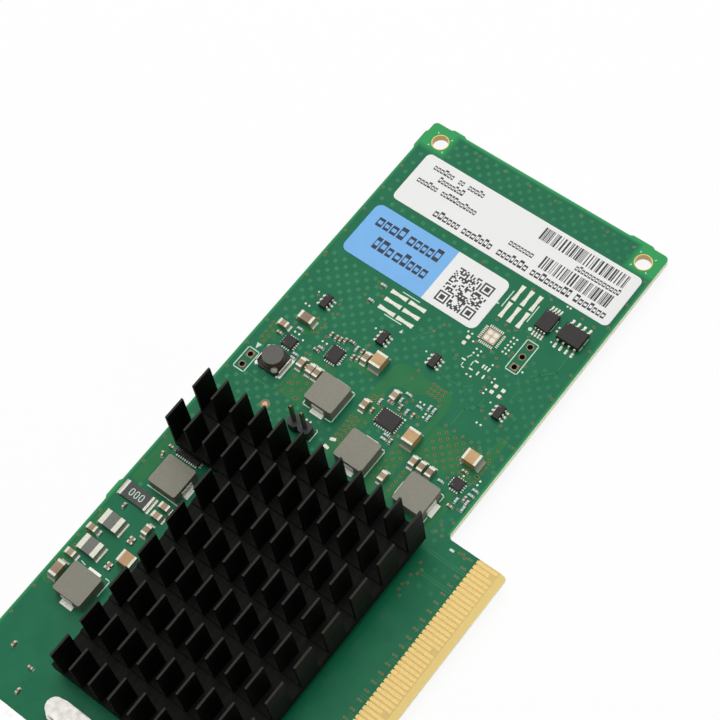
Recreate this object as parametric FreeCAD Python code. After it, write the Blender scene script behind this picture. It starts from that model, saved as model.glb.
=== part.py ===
import FreeCAD, Part
import os
from math import cos, pi, radians, sin, tan

# Two-port network interface card for an eight-lane slot, with a low-profile bracket.
# X runs from the bracket to the far end, Y from the contact edge to the top edge, and
# Z out of the component side.  The origin is on the contact edge, in the middle of the
# key notch and half way through the board.  Everything is in millimetres.

V = FreeCAD.Vector

# ---------------------------------------------------------------- circuit board
pcb_t = 1.57                # thickness
bracket_gap = 2.79          # board's edge to the bracket's inner face
pcb_far_x = 110.0           # far end
pcb_top_y = 68.9            # top edge, above the contact edge
shoulder_y = 13.0           # lower edge of the body, where the tab leaves it
corner_r = 1.0              # outer corners
tab_left_x = -12.15         # contact tab
tab_right_x = 39.15
tab_corner_r = 0.6
tab_root_r = 1.0
key_w = 1.9                 # key notch
key_depth = 8.25
bevel_len = 1.3             # lead-in along the contact edge
bevel_deg = 20.0
nub_h = 0.35                # what is left of the break-off tabs
nub_slope = 0.6
top_nubs = [(8.5, 13.3), (102.5, 107.5)]
far_nubs = [(16.4, 22.1), (61.3, 65.0)]

tooling_hole_x = 106.4
tooling_hole_y = [16.6, 65.1]
tooling_hole_r = 1.65
plating_t = 0.15            # wall of a plated hole
land_t = 0.05               # copper and solder on the board's face
tooling_land_w = 0.17       # width of the plated ring

# ---------------------------------------------------------------- edge contacts
contact_pitch = 1.0
contact_w = 0.7
contact_t = 0.04
contact_end_y = 1.5
contact_top_y = 6.1
short_contact_cut = 1.2     # how much later a presence contact mates
contacts_before_key = 11
contacts_after_key = 38
key_to_contact = 1.5        # key centre to the nearest contact centre
short_front = [17, 31, 48]
short_back = [1]

# ---------------------------------------------------------------- bracket
bracket_x = -57.15          # outer face
bracket_t = 0.86
bracket_w = 18.42
bracket_below = 1.95        # how far it reaches below the board's solder side
bracket_top_y = 71.5        # outer face of the flange
bracket_h = 79.2
tongue_w = 10.19
tongue_len = 5.2
tongue_taper = 4.0
flange_len = 11.43
flange_notch_w = 4.42
flange_notch_depth = 5.9
flange_notch_from_face = 6.2
flange_corner_r = 1.5
ear_y = [17.0, 62.0]        # folded ears that carry the board
ear_w = 8.0
ear_len = 10.5
ear_corner_r = 2.0
ear_hole_in = 7.0           # bracket's outer face to the screw
bracket_screw_r = 1.5
tapped_hole_r = 1.56
screw_clear = 0.15          # clearance of a screw in the board
screw_head_r = 2.8
screw_head_h = 1.7
screw_tip = 0.3             # how far a screw shows past its nut or ear

# ---------------------------------------------------------------- jack
jack_w = 32.6               # across both ports
jack_h = 13.3
jack_len = 25.4
jack_y = 38.5
jack_proud = 0.8            # front face past the bracket's outer face
jack_gap = 0.25             # clearance in the bracket's window
shield_t = 0.3
jack_fit = 0.05             # shield to moulding
port_pitch = 14.4
port_w = 11.9
port_h = 7.3
port_floor = 2.6            # lower edge of the plug space above the jack's base
port_depth = 14.5
latch_w = 6.2
latch_h = 1.5
keeper_w = 3.3
keeper_h = 0.9
lens_w = 2.7
lens_h = 1.7
lens_drop = 0.55            # lens below the moulding's top
lens_depth = 6.0
spring_pitch = 1.02
spring_w = 0.42
spring_t = 0.3
springs_per_port = 8
spring_back = 9.0           # where the springs end, behind the face
spring_mouth = 2.6          # where the springs start, behind the face
spring_drop = 3.1           # how far a spring hangs from the roof
spring_lead = 1.4
spring_heel = 2.4
tail_w = 0.5                # square tails in round holes
tail_hole_r = 0.5
tail_in = 2.0               # how far the tails reach into the moulding
tail_out = 1.0              # how far the tails show on the solder side
tail_rows = [15.0, 18.0]    # behind the front face
tails_per_row = 8
tail_pitch = 3.6
peg_r = 1.55
peg_clear = 0.1
peg_out = 0.6               # how far a peg shows on the solder side
peg_back = 11.0

# ---------------------------------------------------------------- cooling
chip_x = 7.0
chip_y = 33.3
chip_size = 25.0
substrate_t = 0.9
lid_size = 21.0
lid_t = 1.2
lid_corner_r = 1.2
pad_size = 20.0
pad_t = 0.3
sink_far_x = 36.1
sink_low_y = 15.43
fin_root_t = 0.55
fin_top_t = 0.42
fin_pitch = 4.38
fin_count = 12
fin_h = 9.5
row_pitch = 7.6
row_count = 8
cross_cut_w = 2.9
cross_cut_extra = 0.4       # how far a cross cut goes below the floor between fins
sink_base_t = 2.4
step_rows = 2               # rows that keep every fin
step_fins = 3               # fins that the other rows lack
boss_r = 3.0
sink_screw_r = 1.25
sink_screw_depth = 3.2
sink_tapped_r = 1.3
sink_holes = [(-12.0, 21.0), (-12.0, 45.0), (28.0, 21.0), (28.0, 45.0)]
sink_head_r = 2.3
sink_head_h = 1.4
washer_r = 2.9
washer_t = 0.5

# ---------------------------------------------------------------- inductors
coil_size = 6.5
coil_h = 2.9
coil_corner_r = 0.45
coil_terminal_w = 2.8
coil_terminal_t = 0.15
coil_foot = 0.55
coil_terminal_up = 1.7
power_coils = [(48.5, 47.75, 0), (42.5, 36.0, 0), (41.85, 21.95, 90),
               (18.5, 60.5, 90), (-7.6, 60.75, 0)]
drum_x = 48.7
drum_y = 61.15
drum_base = 5.2
drum_base_cut = 0.75
drum_base_t = 0.7
drum_r = 2.1
drum_waist_r = 1.3
drum_h = 3.0
drum_flange_t = 0.7
drum_wire_in = 0.2          # winding below the flanges' rims
drum_clip_w = 3.7
drum_clip_t = 0.2

# ---------------------------------------------------------------- two-terminal chips
# Each family: length along its ends, width, height, length of an end, and its places
# as (x, y, turn), where turn 0 has the ends along X and 90 along Y.
ceramic_0805 = (2.0, 1.25, 1.2, 0.45)
ceramic_places = [(51.2, 56.5, 0), (51.2, 54.2, 0), (51.2, 52.75, 0), (59.2, 47.15, 0),
                  (55.85, 64.6, 90), (51.25, 41.35, 0), (55.95, 37.9, 0),
                  (41.6, 29.65, 0), (47.25, 26.9, 0), (47.25, 25.0, 0),
                  (47.25, 23.1, 0), (8.0, 58.1, 0), (11.2, 58.4, 90),
                  (13.4, 58.4, 90), (2.5, 66.6, 90), (-3.5, 66.6, 90)]
ceramic_1206 = (3.2, 1.7, 1.6, 0.55)
ceramic_1206_places = [(59.2, 61.6, 90), (-7.3, 66.4, 0)]
bulk_size = (3.1, 2.5, 2.2, 0.5)
bulk_places = [(59.7, 44.5, 0), (50.65, 29.9, 0), (53.75, 18.3, 90), (1.35, 56.9, 90)]
bead_size = (4.2, 3.1, 1.4, 1.05)
bead_places = [(-0.5, 64.35, 90), (5.5, 64.35, 90)]
jumper_size = (6.4, 3.2, 0.6, 0.5)
jumper_place = (12.2, 64.25, 90)

# ---------------------------------------------------------------- integrated circuits
# Leaded packages: body across its leads, body along them, height, span over the leads,
# lead pitch, leads on each side, and lead width.
sot_size = (1.6, 2.9, 1.1, 2.9, 0.95, 3, 0.4)
sot_places = [(64.4, 61.0), (64.4, 47.2), (66.1, 36.3), (64.4, 20.1)]
soic_size = (3.9, 4.9, 1.5, 6.1, 1.27, 4, 0.42)
soic_place = (85.1, 18.1)
tssop_size = (4.4, 3.0, 1.05, 6.5, 0.65, 4, 0.28)
tssop_place = (85.1, 23.9)
lead_t = 0.18
lead_foot = 0.55
body_draft = 0.12
body_lift = 0.1
flat_h = 0.9                # leadless packages: size along X and Y, and place
flat_packages = [(2.3, 2.4, 53.5, 61.3), (3.2, 2.7, 56.35, 52.5),
                 (3.3, 4.2, 51.3, 35.85), (2.2, 2.2, 48.4, 17.7), (5.0, 5.4, 25.7, 61.5)]

# ---------------------------------------------------------------- headers and lands
header_pitch = 2.54
header_x = 40.5
header_y = 46.8
header_pins = 2
header_h = 2.54
header_cut = 0.6
pin_w = 0.64
pin_top = 8.5
drill_r = 0.54
drill_land = 1.46           # land across a header hole
open_headers = [(73.95, 23.5), (47.3, 65.95)]
open_header_counts = [3, 2]
open_header_signs = [1, -1]  # which way each row of holes runs from its square land
land_long = 3.8
land_end_w = 0.95
land_waist_w = 0.62
tie_gap = 4.35              # middle to middle of the two lands of a pair
tie_pitch_a = 2.03
tie_pitch_b = 2.03
ties_a = (71.75, 48.3)      # middle of the set with its lands along Y
ties_b = (85.1, 30.05)      # middle of the set with its lands along X
ties_per_set = 3
paddle_size = 2.8           # bare land of a leadless chip
paddle_place = (76.7, 30.8)
crystal_size = (11.4, 4.7, 3.4)
crystal_gap = 3.2           # jack to crystal
crystal_y = 45.0
crystal_rim = 0.5
crystal_rim_t = 0.6

# ---------------------------------------------------------------- labels
label_t = 0.1
identity_label = (90.7, 14.3, 103.2, 65.4, 1.1)
service_label = (75.7, 34.3, 88.2, 66.5, 1.5)

# ---------------------------------------------------------------- faces of small rounds
land_sides = 12             # lands and drills that repeat
ring_sides = 24             # plated rings and pegs
shank_sides = 12            # screw shanks, which nothing shows
tail_sides = 8              # drills of the jack's tails
head_sides = 16             # screw heads and washers
corner_steps = 4            # flats of a rounded corner

# ---------------------------------------------------------------- derived places
face_z = pcb_t / 2                          # component side
back_z = -pcb_t / 2                         # solder side
bracket_in_x = bracket_x + bracket_t
pcb_near_x = bracket_in_x + bracket_gap     # edge beside the bracket
bracket_z = back_z - bracket_below
jack_front_x = bracket_x - jack_proud
jack_back_x = jack_front_x + jack_len
jack_low_y = jack_y - jack_w / 2
crystal_x = jack_back_x + crystal_gap + crystal_size[1] / 2
sink_len = row_count * row_pitch - cross_cut_w
sink_near_x = sink_far_x - sink_len
sink_w = (fin_count - 1) * fin_pitch + fin_root_t
fin_taper = (fin_root_t - fin_top_t) / 2     # on each side of a fin
sink_z = face_z + substrate_t + lid_t + pad_t
sink_floor_z = sink_z + sink_base_t
sink_top_z = sink_floor_z + fin_h


# ---------------------------------------------------------------- helpers
def box(x0, y0, z0, x1, y1, z1):
    return Part.makeBox(x1 - x0, y1 - y0, z1 - z0, V(x0, y0, z0))


def rod(x, y, z0, z1, r):
    return Part.makeCylinder(r, z1 - z0, V(x, y, z0), V(0, 0, 1))


def many_sided(x, y, z0, z1, r, sides):
    """An upright regular prism whose flats lie at r from its axis."""
    corner = r / cos(pi / sides)
    turn = pi / sides
    points = [V(x + corner * cos(turn + 2 * pi * i / sides),
                y + corner * sin(turn + 2 * pi * i / sides), z0) for i in range(sides)]
    return prism(points, V(0, 0, z1 - z0))


def prism(points, travel):
    """A flat outline, given as vectors, carried along a vector."""
    wire = Part.makePolygon(list(points) + [points[0]])
    return Part.Face(wire).extrude(travel)


def upright_edges(shape):
    return [e for e in shape.Edges
            if abs(e.tangentAt(e.FirstParameter).z) > 0.999 and e.Length > 1e-6]


def rounded_box(x0, y0, z0, x1, y1, z1, r):
    """A block whose upright corners are rounded in a few flats."""
    points = []
    corners = [(x1 - r, y1 - r), (x0 + r, y1 - r), (x0 + r, y0 + r), (x1 - r, y0 + r)]
    for quarter, (x, y) in enumerate(corners):
        for i in range(corner_steps + 1):
            angle = pi / 2 * (quarter + i / corner_steps)
            points.append(V(x + r * cos(angle), y + r * sin(angle), z0))
    return prism(points, V(0, 0, z1 - z0))


def centred(x, y, z, sx, sy, sz):
    return box(x - sx / 2, y - sy / 2, z, x + sx / 2, y + sy / 2, z + sz)


def turned(shape, x, y, turn):
    """Carry a shape made at the origin to its place, turned about Z."""
    shape.rotate(V(0, 0, 0), V(0, 0, 1), turn)
    shape.translate(V(x, y, 0))
    return shape


def fuse(shapes):
    first = shapes[0]
    if len(shapes) > 1:
        first = first.multiFuse(shapes[1:])
    return first.removeSplitter()


def group(shapes):
    return Part.makeCompound(shapes)


def save(name, shape):
    shape.exportStep("parts/" + name + ".step")


# ---------------------------------------------------------------- circuit board
def nub(start, end, along_top):
    """What remains of a break-off tab: a low trapezium on the board's edge."""
    if along_top:
        rim = pcb_top_y
        points = [V(start, rim - nub_h, back_z), V(end, rim - nub_h, back_z),
                  V(end, rim, back_z), V(end - nub_slope, rim + nub_h, back_z),
                  V(start + nub_slope, rim + nub_h, back_z), V(start, rim, back_z)]
    else:
        rim = pcb_far_x
        points = [V(rim - nub_h, start, back_z), V(rim, start, back_z),
                  V(rim + nub_h, start + nub_slope, back_z),
                  V(rim + nub_h, end - nub_slope, back_z), V(rim, end, back_z),
                  V(rim - nub_h, end, back_z)]
    return prism(points, V(0, 0, pcb_t))


def board_blank():
    points = [V(pcb_near_x, shoulder_y, back_z), V(tab_left_x, shoulder_y, back_z),
              V(tab_left_x, 0, back_z), V(tab_right_x, 0, back_z),
              V(tab_right_x, shoulder_y, back_z), V(pcb_far_x, shoulder_y, back_z),
              V(pcb_far_x, pcb_top_y, back_z), V(pcb_near_x, pcb_top_y, back_z)]
    blank = prism(points, V(0, 0, pcb_t))
    corners = {"outer": [], "tab": [], "root": []}
    for edge in upright_edges(blank):
        spot = edge.Vertexes[0].Point
        on_tab = tab_left_x - 0.01 < spot.x < tab_right_x + 0.01
        if on_tab and spot.y < 0.01:
            corners["tab"].append(edge)
        elif on_tab:
            corners["root"].append(edge)
        else:
            corners["outer"].append(edge)
    blank = blank.makeFillet(corner_r, corners["outer"])
    blank = blank.makeFillet(tab_root_r, same_edges(blank, corners["root"]))
    return blank.makeFillet(tab_corner_r, same_edges(blank, corners["tab"]))


def same_edges(shape, wanted):
    """The shape's upright edges that stand where the wanted ones stood."""
    spots = [e.Vertexes[0].Point for e in wanted]
    found = []
    for edge in upright_edges(shape):
        spot = edge.Vertexes[0].Point
        if any(abs(spot.x - s.x) < 0.01 and abs(spot.y - s.y) < 0.01 for s in spots):
            found.append(edge)
    return found


def key_notch():
    slot = box(-key_w / 2, -1, back_z, key_w / 2, key_depth - key_w / 2, face_z)
    return slot.fuse(rod(0, key_depth - key_w / 2, back_z, face_z, key_w / 2))


def edge_bevels():
    drop = bevel_len * tan(radians(bevel_deg))
    wedges = []
    for side in (1, -1):
        points = [V(tab_left_x - 1, -1, side * (face_z + 1)),
                  V(tab_left_x - 1, bevel_len, side * (face_z + 1)),
                  V(tab_left_x - 1, bevel_len, side * face_z),
                  V(tab_left_x - 1, 0, side * (face_z - drop)),
                  V(tab_left_x - 1, -1, side * (face_z - drop))]
        wedges.append(prism(points, V(tab_right_x - tab_left_x + 2, 0, 0)))
    return wedges


def open_header_holes():
    """Every hole of the two empty headers, the square-landed one first."""
    places = []
    for (x, y), count, sign in zip(open_headers, open_header_counts, open_header_signs):
        for i in range(count):
            places.append((x + sign * i * header_pitch, y, i == 0))
    return places


def header_places():
    return [(header_x, header_y + i * header_pitch) for i in range(header_pins)]


def tail_places():
    places = []
    for back in tail_rows:
        for i in range(tails_per_row):
            y = jack_y + (i - (tails_per_row - 1) / 2) * tail_pitch
            places.append((jack_front_x + back, y))
    return places


def peg_places():
    return [(jack_front_x + peg_back, jack_y + side * port_pitch / 2) for side in (-1, 1)]


def bracket_screw_places():
    return [(bracket_x + ear_hole_in, y) for y in ear_y]


def board_drills():
    through = (back_z - 1, face_z + 1)
    tooling = [(tooling_hole_x, y) for y in tooling_hole_y]
    holes = []
    groups = [(tooling, tooling_hole_r + plating_t, ring_sides),
              (peg_places(), peg_r + peg_clear, ring_sides),
              ([(x, y) for x, y, square in open_header_holes()],
               drill_r + plating_t, land_sides),
              (header_places(), drill_r, land_sides),
              (tail_places(), tail_hole_r, tail_sides),
              (bracket_screw_places(), bracket_screw_r + screw_clear, head_sides),
              (sink_holes, sink_screw_r + screw_clear, head_sides)]
    for places, r, sides in groups:
        holes += [many_sided(x, y, *through, r, sides) for x, y in places]
    return holes


def circuit_board():
    nubs = [nub(a, b, True) for a, b in top_nubs] + [nub(a, b, False) for a, b in far_nubs]
    board = fuse([board_blank()] + nubs)
    return board.cut([key_notch()] + edge_bevels() + board_drills())


def hole_plating():
    """Two lined holes, each with a flat ring on both faces of the board."""
    low = back_z - land_t
    high = face_z + land_t
    wide = tooling_hole_r + tooling_land_w
    linings = []
    for y in tooling_hole_y:
        barrel = many_sided(tooling_hole_x, y, low, high,
                            tooling_hole_r + plating_t, ring_sides)
        rings = [many_sided(tooling_hole_x, y, face_z, high, wide, ring_sides),
                 many_sided(tooling_hole_x, y, low, back_z, wide, ring_sides)]
        bore = rod(tooling_hole_x, y, low - 1, high + 1, tooling_hole_r)
        linings.append(fuse([barrel] + rings).cut(bore))
    return group(linings)


def header_lands():
    """The first land of each open header is square and the others are round."""
    low = back_z - land_t
    high = face_z + land_t
    lands = []
    for x, y, square in open_header_holes():
        if square:
            top = centred(x, y, face_z, drill_land, drill_land, land_t)
        else:
            top = many_sided(x, y, face_z, high, drill_land / 2, land_sides)
        under = many_sided(x, y, low, back_z, drill_land / 2, land_sides)
        barrel = many_sided(x, y, low, high, drill_r + plating_t, land_sides)
        bore = many_sided(x, y, low - 1, high + 1, drill_r, land_sides)
        lands.append(fuse([barrel, top, under]).cut(bore))
    return group(lands)


def bow_tie(x, y, turn):
    end = land_end_w / 2
    waist = land_waist_w / 2
    half = land_long / 2
    points = [V(-half, -end, face_z), V(0, -waist, face_z), V(half, -end, face_z),
              V(half, end, face_z), V(0, waist, face_z), V(-half, end, face_z)]
    return turned(prism(points, V(0, 0, land_t)), x, y, turn)


def option_lands():
    """Bare tinned lands of the parts that this version leaves out."""
    lands = []
    for i in range(ties_per_set):
        step = i - (ties_per_set - 1) / 2
        for side in (-1, 1):
            shift = side * tie_gap / 2
            lands.append(bow_tie(ties_a[0] + step * tie_pitch_a, ties_a[1] + shift, 90))
            lands.append(bow_tie(ties_b[0] + shift, ties_b[1] + step * tie_pitch_b, 0))
    x, y = paddle_place
    lands.append(centred(x, y, face_z, paddle_size, paddle_size, land_t))
    return group(lands)


# ---------------------------------------------------------------- edge contacts
def contact_x(number):
    if number <= contacts_before_key:
        return -key_to_contact - (contacts_before_key - number) * contact_pitch
    return key_to_contact + (number - contacts_before_key - 1) * contact_pitch


def edge_contacts():
    strips = []
    for number in range(1, contacts_before_key + contacts_after_key + 1):
        x = contact_x(number)
        for z, short in ((face_z, short_front), (back_z - contact_t, short_back)):
            low = contact_end_y + (short_contact_cut if number in short else 0)
            strips.append(box(x - contact_w / 2, low, z,
                              x + contact_w / 2, contact_top_y, z + contact_t))
    return group(strips)


# ---------------------------------------------------------------- bracket
def bracket_plate():
    low = bracket_top_y - bracket_h
    inset = (bracket_w - tongue_w) / 2
    z0 = bracket_z
    z1 = bracket_z + bracket_w
    taper_y = low + tongue_len
    full_y = taper_y + tongue_taper
    outline = [(low, z0 + inset), (low, z1 - inset), (taper_y, z1 - inset), (full_y, z1),
               (bracket_top_y, z1), (bracket_top_y, z0), (full_y, z0),
               (taper_y, z0 + inset)]
    points = [V(bracket_x, y, z) for y, z in outline]
    return prism(points, V(bracket_t, 0, 0))


def bracket_flange():
    x0 = bracket_in_x - flange_len
    flange = box(x0, bracket_top_y - bracket_t, bracket_z,
                 bracket_x, bracket_top_y, bracket_z + bracket_w)
    outer = [e for e in flange.Edges
             if abs(e.CenterOfMass.x - x0) < 0.01 and abs(e.Length - bracket_t) < 0.01]
    return flange.makeFillet(flange_corner_r, outer)


def flange_notch():
    """The open slot for the machine's screw, from the solder side's edge inwards."""
    x = bracket_x - flange_notch_from_face + flange_notch_w / 2
    r = flange_notch_w / 2
    end_z = bracket_z + flange_notch_depth - r
    slot = box(x - r, bracket_top_y - bracket_t - 1, bracket_z - 1,
               x + r, bracket_top_y + 1, end_z)
    round_end = Part.makeCylinder(r, bracket_t + 2,
                                  V(x, bracket_top_y - bracket_t - 1, end_z), V(0, 1, 0))
    return slot.fuse(round_end)


def bracket_ear(y):
    """An ear folded from the plate, flat against the board's solder side."""
    z0 = back_z - bracket_t
    ear = box(bracket_in_x, y - ear_w / 2, z0, bracket_x + ear_len, y + ear_w / 2, back_z)
    outer = [e for e in upright_edges(ear)
             if abs(e.CenterOfMass.x - bracket_x - ear_len) < 0.01]
    ear = ear.makeFillet(ear_corner_r, outer)
    return ear.cut(rod(bracket_x + ear_hole_in, y, z0 - 1, back_z + 1, tapped_hole_r))


def jack_window():
    return box(bracket_x - 1, jack_low_y - jack_gap, face_z - jack_gap,
               bracket_in_x + 1, jack_low_y + jack_w + jack_gap,
               face_z + jack_h + jack_gap)


def bracket():
    sheet = fuse([bracket_plate(), bracket_flange()] + [bracket_ear(y) for y in ear_y])
    return sheet.cut([jack_window(), flange_notch()])


def pan_screw(x, y, z, head_r, head_h, shank_r, shank_len, facing):
    """A pan-head screw: the head on one side of z, the shank on the other."""
    head = many_sided(0, 0, 0, head_h, head_r, head_sides)
    rim = [e for e in head.Edges if abs(e.BoundBox.ZMin - head_h) < 0.001]
    head = head.makeChamfer(head_h * 0.35, rim)
    shank = many_sided(0, 0, -shank_len, 0, shank_r, shank_sides)
    slot = head_r * 0.5
    wide = head_r * 0.16
    deep = head_h * 0.5
    cross = [box(-slot, -wide, head_h - deep, slot, wide, head_h + 1),
             box(-wide, -slot, head_h - deep, wide, slot, head_h + 1)]
    screw = fuse([head, shank]).cut(cross)
    if facing < 0:
        screw.rotate(V(0, 0, 0), V(1, 0, 0), 180)
    screw.translate(V(x, y, z))
    return screw


def bracket_screws():
    reach = pcb_t + bracket_t + screw_tip
    return group([pan_screw(x, y, face_z, screw_head_r, screw_head_h,
                            bracket_screw_r, reach, 1)
                  for x, y in bracket_screw_places()])


# ---------------------------------------------------------------- jack
def port_centres():
    return [jack_y - port_pitch / 2, jack_y + port_pitch / 2]


def port_window(y, grow, x0, x1):
    """The space for one plug, with its stepped latch channel towards the board."""
    half = port_w / 2 + grow
    z0 = face_z + port_floor
    z1 = z0 + port_h + grow
    step_z = z0 - latch_h
    steps = [(y - half, z1), (y + half, z1), (y + half, z0 - grow),
             (y + latch_w / 2 + grow, z0 - grow), (y + latch_w / 2 + grow, step_z - grow),
             (y + keeper_w / 2, step_z - grow), (y + keeper_w / 2, step_z - keeper_h),
             (y - keeper_w / 2, step_z - keeper_h), (y - keeper_w / 2, step_z - grow),
             (y - latch_w / 2 - grow, step_z - grow), (y - latch_w / 2 - grow, z0 - grow),
             (y - half, z0 - grow)]
    return prism([V(x0, a, b) for a, b in steps], V(x1 - x0, 0, 0))


def lens_boxes(grow):
    """The light-pipe windows: one above each side of each port."""
    z1 = face_z + jack_h - shield_t - jack_fit - lens_drop
    boxes = []
    for y in port_centres():
        for side in (-1, 1):
            mid = y + side * (port_w / 2 - lens_w / 2)
            boxes.append(box(jack_front_x, mid - lens_w / 2 - grow, z1 - lens_h - grow,
                             jack_front_x + lens_depth, mid + lens_w / 2 + grow,
                             z1 + grow))
    return boxes


def jack_shield():
    z1 = face_z + jack_h
    outer = box(jack_front_x, jack_low_y, face_z, jack_back_x, jack_low_y + jack_w, z1)
    inner = box(jack_front_x + shield_t, jack_low_y + shield_t, face_z - 1,
                jack_back_x - shield_t, jack_low_y + jack_w - shield_t, z1 - shield_t)
    cuts = [inner]
    for y in port_centres():
        cuts.append(port_window(y, 0.15, jack_front_x - 1, jack_front_x + shield_t + 1))
    for lens in lens_boxes(jack_fit):
        cuts.append(lens)
    return outer.cut(cuts)


def jack_moulding():
    gap = shield_t + jack_fit
    body = box(jack_front_x + gap, jack_low_y + gap, face_z,
               jack_back_x - gap, jack_low_y + jack_w - gap, face_z + jack_h - gap)
    pegs = [many_sided(x, y, back_z - peg_out, face_z, peg_r, ring_sides)
            for x, y in peg_places()]
    cuts = []
    for y in port_centres():
        cuts.append(port_window(y, 0, jack_front_x - 1, jack_front_x + port_depth))
    cuts += lens_boxes(jack_fit)
    cuts += [tail(x, y, face_z - 1) for x, y in tail_places()]
    return fuse([body] + pegs).cut(cuts)


def jack_lenses(side):
    """Light pipes: side 0 has the left one of each port and side 1 the right one."""
    return group([lens for i, lens in enumerate(lens_boxes(0)) if i % 2 == side])


def jack_springs():
    """Eight wires in each port: down from the roof at the back, forward on a slant."""
    roof = face_z + port_floor + port_h
    x_in = jack_front_x + spring_mouth
    x_end = jack_front_x + spring_back
    t = spring_t
    outline = [(x_end, roof), (x_in, roof), (x_in, roof - t),
               (x_in + spring_lead, roof - t - spring_t / 3), (x_end, roof - spring_drop),
               (x_end, roof - spring_drop + t * 1.3), (x_in + spring_heel, roof - t),
               (x_end, roof - t)]
    wires = []
    for y in port_centres():
        for i in range(springs_per_port):
            mid = y + (i - (springs_per_port - 1) / 2) * spring_pitch
            points = [V(a, mid - spring_w / 2, b) for a, b in outline]
            wires.append(prism(points, V(0, spring_w, 0)))
    return group(wires)


def tail(x, y, low):
    """One square tail, up to its seat in the moulding."""
    return centred(x, y, low, tail_w, tail_w, face_z + tail_in - low)


def jack_tails():
    return group([tail(x, y, back_z - tail_out) for x, y in tail_places()])


# ---------------------------------------------------------------- cooling
def controller_substrate():
    return centred(chip_x, chip_y, face_z, chip_size, chip_size, substrate_t)


def controller_lid():
    half = lid_size / 2
    z0 = face_z + substrate_t
    return rounded_box(chip_x - half, chip_y - half, z0, chip_x + half, chip_y + half,
                       z0 + lid_t, lid_corner_r)


def thermal_pad():
    return centred(chip_x, chip_y, sink_z - pad_t, pad_size, pad_size, pad_t)


def comb_outline():
    """Section of the extruded sink across its fins."""
    points = [V(sink_near_x, sink_low_y, sink_z)]
    for i in range(fin_count):
        y0 = sink_low_y + i * fin_pitch
        points.append(V(sink_near_x, y0 + fin_taper, sink_top_z))
        points.append(V(sink_near_x, y0 + fin_root_t - fin_taper, sink_top_z))
        if i < fin_count - 1:
            points.append(V(sink_near_x, y0 + fin_root_t, sink_floor_z))
            points.append(V(sink_near_x, y0 + fin_pitch, sink_floor_z))
    points.append(V(sink_near_x, sink_low_y + sink_w, sink_z))
    return points


def cross_cuts():
    cuts = []
    for i in range(1, row_count):
        x1 = sink_far_x - i * row_pitch + cross_cut_w
        cuts.append(box(x1 - cross_cut_w, sink_low_y - 1, sink_floor_z - cross_cut_extra,
                        x1, sink_low_y + sink_w + 1, sink_top_z + 1))
    return cuts


def sink_step():
    """The corner that is left out to clear the tall parts beside the top edge."""
    x1 = sink_far_x - step_rows * row_pitch + cross_cut_w
    y0 = sink_low_y + sink_w - step_fins * fin_pitch
    return box(sink_near_x - 1, y0, sink_z - 1,
               x1, sink_low_y + sink_w + 1, sink_top_z + 1)


def heat_sink():
    comb = prism(comb_outline(), V(sink_len, 0, 0))
    comb = comb.cut(cross_cuts() + [sink_step()])
    bosses = [many_sided(x, y, face_z, sink_z + sink_base_t / 2, boss_r, head_sides)
              for x, y in sink_holes]
    tapped = [many_sided(x, y, face_z - 1, face_z + sink_screw_depth + screw_tip,
                         sink_tapped_r, shank_sides) for x, y in sink_holes]
    return fuse([comb] + bosses).cut(tapped)


def sink_screws():
    z = back_z - washer_t
    reach = washer_t + pcb_t + sink_screw_depth
    return group([pan_screw(x, y, z, sink_head_r, sink_head_h, sink_screw_r, reach, -1)
                  for x, y in sink_holes])


def sink_washers():
    rings = []
    for x, y in sink_holes:
        ring = many_sided(x, y, back_z - washer_t, back_z, washer_r, head_sides)
        bore = many_sided(x, y, back_z - washer_t - 1, back_z + 1,
                          sink_screw_r + screw_clear, shank_sides)
        rings.append(ring.cut(bore))
    return group(rings)


# ---------------------------------------------------------------- inductors
def coil_body(x, y):
    half = coil_size / 2
    return rounded_box(x - half, y - half, face_z, x + half, y + half,
                       face_z + coil_h, coil_corner_r)


def coil_terminals(x, y, turn):
    """Two bent strips: up the side of the block and out along the board."""
    clips = []
    for side in (0, 180):
        u = coil_size / 2
        outline = [(u, 0), (u + coil_foot, 0), (u + coil_foot, coil_terminal_t),
                   (u + coil_terminal_t, coil_terminal_t),
                   (u + coil_terminal_t, coil_terminal_up), (u, coil_terminal_up)]
        points = [V(a, -coil_terminal_w / 2, face_z + b) for a, b in outline]
        strip = prism(points, V(0, coil_terminal_w, 0))
        clips.append(turned(strip, x, y, turn + side))
    return clips


def drum_carrier():
    half = drum_base / 2
    cut = drum_base_cut
    outline = [(-half + cut, -half), (half - cut, -half), (half, -half + cut),
               (half, half - cut), (half - cut, half), (-half + cut, half),
               (-half, half - cut), (-half, -half + cut)]
    points = [V(drum_x + a, drum_y + b, face_z + drum_clip_t) for a, b in outline]
    return prism(points, V(0, 0, drum_base_t - drum_clip_t))


def drum_core():
    """A spool turned about Z, with its winding space between two flanges."""
    low = face_z + drum_base_t
    high = face_z + drum_h
    outline = [V(0, 0, low), V(drum_r, 0, low), V(drum_r, 0, low + drum_flange_t / 2),
               V(drum_waist_r, 0, low + drum_flange_t / 2),
               V(drum_waist_r, 0, high - drum_flange_t),
               V(drum_r, 0, high - drum_flange_t), V(drum_r, 0, high), V(0, 0, high)]
    spool = Part.Face(Part.makePolygon(outline + [outline[0]])).revolve(
        V(0, 0, 0), V(0, 0, 1), 360)
    spool.translate(V(drum_x, drum_y, 0))
    return spool


def drum_winding():
    low = face_z + drum_base_t + drum_flange_t / 2
    high = face_z + drum_h - drum_flange_t
    turns = many_sided(drum_x, drum_y, low, high, drum_r - drum_wire_in, head_sides)
    return turns.cut(rod(drum_x, drum_y, low - 1, high + 1, drum_waist_r))


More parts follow.
